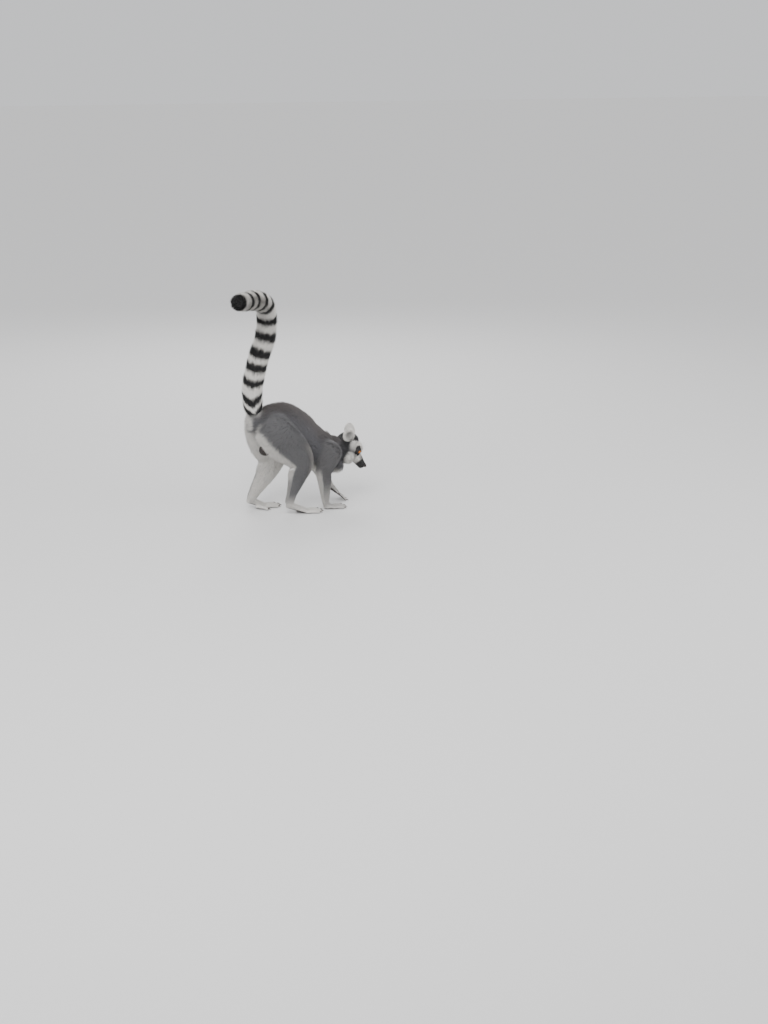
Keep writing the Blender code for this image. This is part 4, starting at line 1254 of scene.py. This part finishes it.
def eye_material(settings):
    """An amber iris with fine spokes and a dark rim, a round pupil and a wet surface."""
    shader = Shader("wet_eye")
    spot = shader.node("ShaderNodeAttribute", {"attribute_name": "iris"}, output="Vector")
    radius = shader.node("ShaderNodeVectorMath", {"operation": "LENGTH"}, {0: spot}, output="Value")
    spoke_way = shader.node("ShaderNodeVectorMath", {"operation": "NORMALIZE"}, {0: spot}, output="Vector")
    spokes = shader.noise(14.0, detail=2.0, where=spoke_way)
    inner = shader.mix((spokes * 1.6 - 0.3).within(), tuple(settings.iris), tuple(settings.iris_spokes))
    toward_rim = (radius * 2.2 - 1.1).within()
    iris = shader.mix(toward_rim, inner, linear(96, 44, 8))
    rim = (radius * 9.0 - 8.2).within()
    colour = shader.mix(rim, iris, linear(26, 17, 12))
    pupil = 1.0 - (radius * 24.0 - 24.0 * settings.pupil).within()
    shader.surface.inputs["Coat Roughness"].default_value = 0.03
    shader.surface.inputs["Coat Weight"].default_value = 0.7
    shader.surface.inputs["Specular IOR Level"].default_value = 0.0
    return shader.finish(base_color=shader.mix(pupil, colour, linear(6, 5, 5)), roughness=0.25)


def horn_material():
    """Dark horn of the nails, paler in a fine grain."""
    shader = Shader("nail_horn")
    grain = shader.noise(700.0)
    colour = shader.mix(grain, linear(40, 33, 29), linear(78, 66, 57))
    return shader.finish(base_color=colour, roughness=0.3 + grain * 0.2)


def whisker_material():
    """Black whiskers."""
    shader = Shader("whisker")
    return shader.finish(base_color=shader.mix(shader.noise(300.0), linear(22, 19, 18), linear(48, 42, 40)),
                         roughness=0.4)


# ---------------------------------------------------------------- nails and whiskers by Geometry Nodes

def spike_tree():
    """A node group that stands a bent, tapering spike on each point, along the point's aim."""
    tree = bpy.data.node_groups.new("bent spikes", "GeometryNodeTree")
    sockets = tree.interface
    sockets.new_socket("Geometry", in_out="OUTPUT", socket_type="NodeSocketGeometry")
    sockets.new_socket("Geometry", in_out="INPUT", socket_type="NodeSocketGeometry")
    for name in ("Length", "Root Radius", "Tip Radius", "Droop"):
        sockets.new_socket(name, in_out="INPUT", socket_type="NodeSocketFloat")
    for name in ("Bends", "Sides"):
        sockets.new_socket(name, in_out="INPUT", socket_type="NodeSocketInt")
    sockets.new_socket("Material", in_out="INPUT", socket_type="NodeSocketMaterial")

    def node(kind_name, inputs=None, **settings):
        made = tree.nodes.new(kind_name)
        for key, value in settings.items():
            setattr(made, key, value)
        for key, value in (inputs or {}).items():
            slot = made.inputs[key]
            if isinstance(value, bpy.types.NodeSocket):
                tree.links.new(value, slot)
            else:
                slot.default_value = value
        return made

    given = node("NodeGroupInput").outputs
    droop = node("ShaderNodeMath", {0: given["Droop"], 1: -1.0}, operation="MULTIPLY").outputs[0]
    half = node("ShaderNodeMath", {0: given["Length"], 1: 0.55}, operation="MULTIPLY").outputs[0]
    middle = node("ShaderNodeCombineXYZ", {"X": half}).outputs[0]
    end = node("ShaderNodeCombineXYZ", {"X": given["Length"], "Z": droop}).outputs[0]
    line = node("GeometryNodeCurveQuadraticBezier",
                {"Resolution": given["Bends"], "Start": (0.0, 0.0, 0.0), "Middle": middle, "End": end})
    along = node("GeometryNodeSplineParameter").outputs["Factor"]
    radius = node("ShaderNodeMapRange", {"Value": along, "To Min": given["Root Radius"],
                                         "To Max": given["Tip Radius"]}).outputs["Result"]
    tapered = node("GeometryNodeSetCurveRadius", {"Curve": line.outputs[0], "Radius": radius}).outputs[0]
    ring = node("GeometryNodeCurvePrimitiveCircle", {"Resolution": given["Sides"], "Radius": 1.0}).outputs[0]
    spike_node = node("GeometryNodeCurveToMesh", {"Curve": tapered, "Profile Curve": ring, "Fill Caps": True})
    if "Scale" in spike_node.inputs:
        tree.links.new(radius, spike_node.inputs["Scale"])
    aim = node("GeometryNodeInputNamedAttribute", {"Name": "aim"}, data_type="FLOAT_VECTOR").outputs[0]
    back = node("GeometryNodeInputNamedAttribute", {"Name": "back"}, data_type="FLOAT_VECTOR").outputs[0]
    size = node("GeometryNodeInputNamedAttribute", {"Name": "size"}, data_type="FLOAT").outputs[0]
    pointed = node("FunctionNodeAlignRotationToVector", {"Vector": aim}, axis="X").outputs[0]
    rolled = node("FunctionNodeAlignRotationToVector", {"Rotation": pointed, "Vector": back},
                  axis="Z", pivot_axis="X").outputs[0]
    stood = node("GeometryNodeInstanceOnPoints",
                 {"Points": given["Geometry"], "Instance": spike_node.outputs[0], "Rotation": rolled,
                  "Scale": size}).outputs[0]
    real = node("GeometryNodeRealizeInstances", {"Geometry": stood}).outputs[0]
    painted = node("GeometryNodeSetMaterial", {"Geometry": real, "Material": given["Material"]}).outputs[0]
    node("NodeGroupOutput", {"Geometry": painted})
    return tree


def spikes(name, places, aims, backs, sizes, material, **values):
    """Spikes at places in the animal's frame, as one plain mesh."""
    mesh = bpy.data.meshes.new(name)
    mesh.from_pydata([tuple(place) for place in metres(places)], [], [])
    for key, rows in (("aim", aims), ("back", backs)):
        made = mesh.attributes.new(key, "FLOAT_VECTOR", "POINT")
        made.data.foreach_set("vector", np.asarray(rows, dtype=np.float32).ravel())
    give(mesh, "size", sizes)
    roots = link(name + "_roots", mesh)
    tree = spike_tree()
    step = roots.modifiers.new("spikes", "NODES")
    step.node_group = tree
    wanted = {"Material": material, **{key.replace("_", " ").title(): value for key, value in values.items()}}
    for item in tree.interface.items_tree:
        if item.in_out == "INPUT" and item.name in wanted:
            step[item.identifier] = wanted[item.name]
    made = link(name, plain_mesh(roots))
    bpy.data.objects.remove(roots, do_unlink=True)
    made.data.name = name
    made.data.shade_smooth()
    return made


def ride(piece):
    """Fix a finished piece to the animal."""
    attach(piece, BODY)


def eye_mesh(name, side):
    """An eyeball with a slightly raised cornea, and its places round the gaze for the iris."""
    work = bmesh.new()
    bmesh.ops.create_uvsphere(work, u_segments=64, v_segments=40, radius=1.0)
    mesh = bpy.data.meshes.new(name)
    work.to_mesh(mesh)
    work.free()
    flat = np.empty(3 * len(mesh.vertices))
    mesh.vertices.foreach_get("co", flat)
    ball = flat.reshape(-1, 3)
    axes = HEAD_TURN @ eye_axes(side)
    off = np.arccos(np.clip(ball[:, 2], -1.0, 1.0))
    bulge = 1.0 + CORNEA_RISE * np.exp(-(off / CORNEA_ANGLE) ** 4)
    own = np.stack([ball[:, 2], ball[:, 0], ball[:, 1]], axis=1) * (bulge * (EYE_RADIUS - EYE_ROOM))[:, None]
    set_corners(mesh, on_head(mirrored(EYE_PLACE, side)) + own @ axes.T)
    spot = unit(ball[:, :2]) * (off / IRIS_ANGLE)[:, None]
    made = mesh.attributes.new("iris", "FLOAT_VECTOR", "POINT")
    made.data.foreach_set("vector", np.column_stack([spot, np.zeros(len(spot))]).astype(np.float32).ravel())
    if np.linalg.det(axes) < 0:
        mesh.flip_normals()
    mesh.shade_smooth()
    return mesh


# ---------------------------------------------------------------- settings

class LemurCoat(bpy.types.PropertyGroup):
    """What a user would change about skin and coat."""

    tuft_count: IntProperty(name="Tufts", description="Number of tufts in the whole coat", default=232000)
    tuft_length: FloatProperty(name="Tuft length", description="Length over its usual length", default=1.0)
    tuft_width: FloatProperty(name="Tuft width", description="Width over its usual width", default=1.0)
    grey: FloatVectorProperty(name="Grey", description="Flanks and limbs", subtype="COLOR",
                              default=linear(103, 104, 109))
    brown: FloatVectorProperty(name="Brown grey", description="Back and thighs", subtype="COLOR",
                               default=linear(97, 90, 86))
    white: FloatVectorProperty(name="White", description="Face, belly and rings", subtype="COLOR",
                               default=linear(243, 242, 239))
    cream: FloatVectorProperty(name="Cream", description="Flecks in the white", subtype="COLOR",
                               default=linear(226, 219, 209))
    black: FloatVectorProperty(name="Black", description="Rings, eye patches and muzzle", subtype="COLOR",
                               default=linear(27, 26, 27))
    leather: FloatVectorProperty(name="Bare skin", description="Nose, palms, soles and scrotum",
                                 subtype="COLOR", default=linear(30, 25, 24))


class LemurFace(bpy.types.PropertyGroup):
    """What a user would change about eyes, nails and whiskers."""

    iris: FloatVectorProperty(name="Iris", description="Main colour of the eyes", subtype="COLOR",
                              default=linear(208, 104, 12))
    iris_spokes: FloatVectorProperty(name="Iris spokes", description="Fine spokes in the iris",
                                     subtype="COLOR", default=linear(234, 150, 36))
    pupil: FloatProperty(name="Pupil", description="Radius over the iris's radius", default=0.34)
    nail_length: FloatProperty(name="Nail length", description="Length of a nail", default=0.0075,
                               unit="LENGTH")
    whisker_length: FloatProperty(name="Whisker length", description="Length of the longest whisker",
                                  default=0.034, unit="LENGTH")


class LemurStage(bpy.types.PropertyGroup):
    """What a user would change about floor, light and camera."""

    floor: FloatVectorProperty(name="Floor", description="Colour of the floor", subtype="COLOR",
                               default=(0.72, 0.715, 0.71))
    key_power: FloatProperty(name="Key light", description="Power of the large light", default=55.0,
                             unit="POWER")
    sky: FloatProperty(name="Sky", description="Strength of the light from all round", default=0.85)
    overhead: FloatProperty(name="Overhead", description="Strength of the even light from above", default=1.1)
    focal_length: FloatProperty(name="Focal length", default=52.73,
                                description="Lens for a frame 36 mm high, in millimetres")


class LEMUR_OT_skin(bpy.types.Operator):
    """Make the one skin that replaces every node of flesh."""

    bl_idname = "lemur.skin"
    bl_label = "Skin"

    def execute(self, context):
        mesh = fused_flesh()
        sculpt(mesh)
        mesh.name = "skin"
        points = corners(mesh)
        normals = normals_of(mesh)
        marks = markings(points, survey(points), normals)
        for order, mark in enumerate(("pale", "dark", "warm", "bare")):
            give(mesh, mark, marks[:, order])
        mesh.materials.clear()
        mesh.materials.append(skin_material(context.scene.lemur_coat))
        mesh.shade_smooth()
        skin = link("skin", mesh)
        ride(skin)
        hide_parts(*[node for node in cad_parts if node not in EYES])
        return {"FINISHED"}


class LEMUR_OT_coat(bpy.types.Operator):
    """Cover the skin with tufts."""

    bl_idname = "lemur.coat"
    bl_label = "Coat"

    def execute(self, context):
        settings = context.scene.lemur_coat
        rng = np.random.default_rng(SEED)
        tufts = make_tufts(Skin(bpy.data.objects["skin"]), settings, rng)
        seen = {**tufts["report"], "points": tufts["roots"]}
        owner = np.array([tufts["report"][group]["weight"] for group in GROUPS]).argmax(0)
        material = coat_material(settings)
        for name, (groups, test) in COATS.items():
            mine = np.isin(owner, [GROUPS.index(group) for group in groups])
            if test is not None:
                mine &= test(seen)
            mesh = coat_mesh(name, tufts, groups, np.flatnonzero(mine))
            mesh.materials.append(material)
            piece = link(name, mesh)
            ride(piece)
        return {"FINISHED"}


class LEMUR_OT_eyes(bpy.types.Operator):
    """Make both eyes."""

    bl_idname = "lemur.eyes"
    bl_label = "Eyes"

    def execute(self, context):
        material = eye_material(context.scene.lemur_face)
        for side_name, side in SIDES.items():
            eye = link(f"eyeball_{side_name}", eye_mesh(f"eyeball_{side_name}", side))
            eye.data.materials.append(material)
            ride(eye)
            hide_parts(f"eye_{side_name}")
        return {"FINISHED"}


class LEMUR_OT_nails(bpy.types.Operator):
    """Set a nail on every finger and toe."""

    bl_idname = "lemur.nails"
    bl_label = "Nails"

    def execute(self, context):
        digits = [form for form in FLESH if getattr(form, "digit", False)]
        ends = np.array([form.centre[-1] for form in digits])
        aims = np.array([form.along[-1] for form in digits])
        aims[:, 2] = np.maximum(aims[:, 2], NAIL_LEAST_DIP)
        aims = unit(aims)
        radii = np.array([form.half[-1].mean() for form in digits])
        backs = unit(np.array([0.0, 0.0, 1.0]) - aims * aims[:, 2:])
        places = ends + aims * (NAIL_AHEAD * radii)[:, None] + backs * (NAIL_AHEAD * radii)[:, None]
        nails = spikes("nails", places, unit(aims + NAIL_LIFT * backs), backs, radii / FINGER_RADIUS,
                       horn_material(), length=context.scene.lemur_face.nail_length,
                       root_radius=0.0021, tip_radius=0.0004, droop=0.0018, bends=6, sides=10)
        points = corners(nails.data)
        points[:, 2] = np.maximum(points[:, 2], SOLE_LEVEL)
        set_corners(nails.data, points)
        ride(nails)
        return {"FINISHED"}


class LEMUR_OT_whiskers(bpy.types.Operator):
    """Set whiskers on the muzzle and over the eyes."""

    bl_idname = "lemur.whiskers"
    bl_label = "Whiskers"

    def execute(self, context):
        places, aims, sizes = [], [], []
        rng = np.random.default_rng(SEED + 1)
        for side in SIDES.values():
            for row in range(WHISKER_ROWS):
                for step in range(WHISKER_COLUMNS):
                    place = (6.3 - 0.42 * step, (0.78 + 0.12 * step) * side, -0.28 - 0.2 * row)
                    aim = (-0.05 - 0.16 * step, (1.0 + 0.1 * row) * side, -0.12 - 0.18 * row)
                    places.append(place)
                    aims.append(np.array(aim) + rng.normal(0.0, 0.08, 3))
                    sizes.append(0.55 + 0.1 * step + rng.uniform(-0.06, 0.06))
            for step in range(BROW_WHISKERS):
                places.append((2.3 - 0.25 * step, (0.9 + 0.28 * step) * side, 2.6))
                aims.append(np.array((0.55, 0.5 * side, 1.0)) + rng.normal(0.0, 0.1, 3))
                sizes.append(0.6)
        aims = unit(np.array(aims)) @ HEAD_TURN.T
        backs = np.tile((0.0, 0.0, 1.0), (len(aims), 1))
        whiskers = spikes("whiskers", on_head(places), aims, backs, sizes, whisker_material(),
                          length=context.scene.lemur_face.whisker_length, root_radius=0.00022,
                          tip_radius=0.00003, droop=0.006, bends=7, sides=4)
        ride(whiskers)
        return {"FINISHED"}


class LEMUR_OT_stage(bpy.types.Operator):
    """Set floor, soft light and camera."""

    bl_idname = "lemur.stage"
    bl_label = "Floor, light and camera"

    def execute(self, context):
        settings = context.scene.lemur_stage
        work = bmesh.new()
        bmesh.ops.create_grid(work, x_segments=1, y_segments=1, size=FLOOR_HALF)
        mesh = bpy.data.meshes.new("floor")
        work.to_mesh(mesh)
        work.free()
        shader = Shader("pale_floor")
        mesh.materials.append(shader.finish(base_color=tuple(settings.floor), roughness=0.8))
        link("floor", mesh)
        world = bpy.data.worlds.new("soft sky")
        world.use_nodes = True
        background = world.node_tree.nodes["Background"]
        background.inputs["Color"].default_value = SKY_COLOUR
        background.inputs["Strength"].default_value = settings.sky
        context.scene.world = world
        middle = Vector(LAMPS_AIM)
        for name, place, size, share in LIGHTS:
            light = bpy.data.lights.new(name, "AREA")
            light.shape = "DISK"
            light.size = size
            light.energy = settings.key_power * share
            lamp = bpy.data.objects.new(name, light)
            lamp.location = place
            lamp.rotation_euler = (middle - Vector(place)).to_track_quat("-Z", "Y").to_euler()
            context.scene.collection.objects.link(lamp)
        light = bpy.data.lights.new("overhead", "SUN")
        light.energy = settings.overhead
        light.angle = OVERHEAD_SPREAD
        lamp = bpy.data.objects.new("overhead", light)
        lamp.rotation_euler = Vector(OVERHEAD_PLACE).to_track_quat("Z", "Y").to_euler()
        context.scene.collection.objects.link(lamp)
        camera = bpy.data.objects.new("camera", bpy.data.cameras.new("camera"))
        camera.data.sensor_fit = "VERTICAL"
        camera.data.sensor_height = SENSOR_HEIGHT
        camera.data.lens = settings.focal_length
        camera.data.clip_end = FAR_CLIP
        right = Vector((math.cos(CAMERA_TURN), -math.sin(CAMERA_TURN), 0.0))
        level = math.cos(CAMERA_DIP)
        ahead = Vector((math.sin(CAMERA_TURN) * level, math.cos(CAMERA_TURN) * level, -math.sin(CAMERA_DIP)))
        camera.rotation_euler = Matrix((right, right.cross(ahead), -ahead)).transposed().to_euler()
        camera.location = CAMERA_PLACE
        context.scene.collection.objects.link(camera)
        context.scene.camera = camera
        return {"FINISHED"}


class LEMUR_PT_panel(bpy.types.Panel):
    """Lists the lemur's pieces."""

    bl_label = "Lemur"
    bl_idname = "LEMUR_PT_panel"
    bl_space_type = "VIEW_3D"
    bl_region_type = "UI"
    bl_category = "Lemur"

    def draw(self, context):
        for settings in (context.scene.lemur_coat, context.scene.lemur_face, context.scene.lemur_stage):
            for name in settings.__annotations__:
                self.layout.prop(settings, name)
        for operator in OPERATORS:
            self.layout.operator(operator.bl_idname)


OPERATORS = (LEMUR_OT_skin, LEMUR_OT_coat, LEMUR_OT_eyes, LEMUR_OT_nails, LEMUR_OT_whiskers, LEMUR_OT_stage)
SETTINGS = {"lemur_coat": LemurCoat, "lemur_face": LemurFace, "lemur_stage": LemurStage}


def register():
    """Add the settings, operators and panel."""
    for item in (*SETTINGS.values(), *OPERATORS, LEMUR_PT_panel):
        bpy.utils.register_class(item)
    for name, item in SETTINGS.items():
        setattr(bpy.types.Scene, name, PointerProperty(type=item))


def unregister():
    """Take them away."""
    for name in SETTINGS:
        delattr(bpy.types.Scene, name)
    for item in (LEMUR_PT_panel, *OPERATORS[::-1], *SETTINGS.values()):
        bpy.utils.unregister_class(item)


def main():
    """Make every piece."""
    register()
    bpy.ops.lemur.skin()
    bpy.ops.lemur.coat()
    bpy.ops.lemur.eyes()
    bpy.ops.lemur.nails()
    bpy.ops.lemur.whiskers()
    bpy.ops.lemur.stage()


if __name__ == "__main__":
    main()
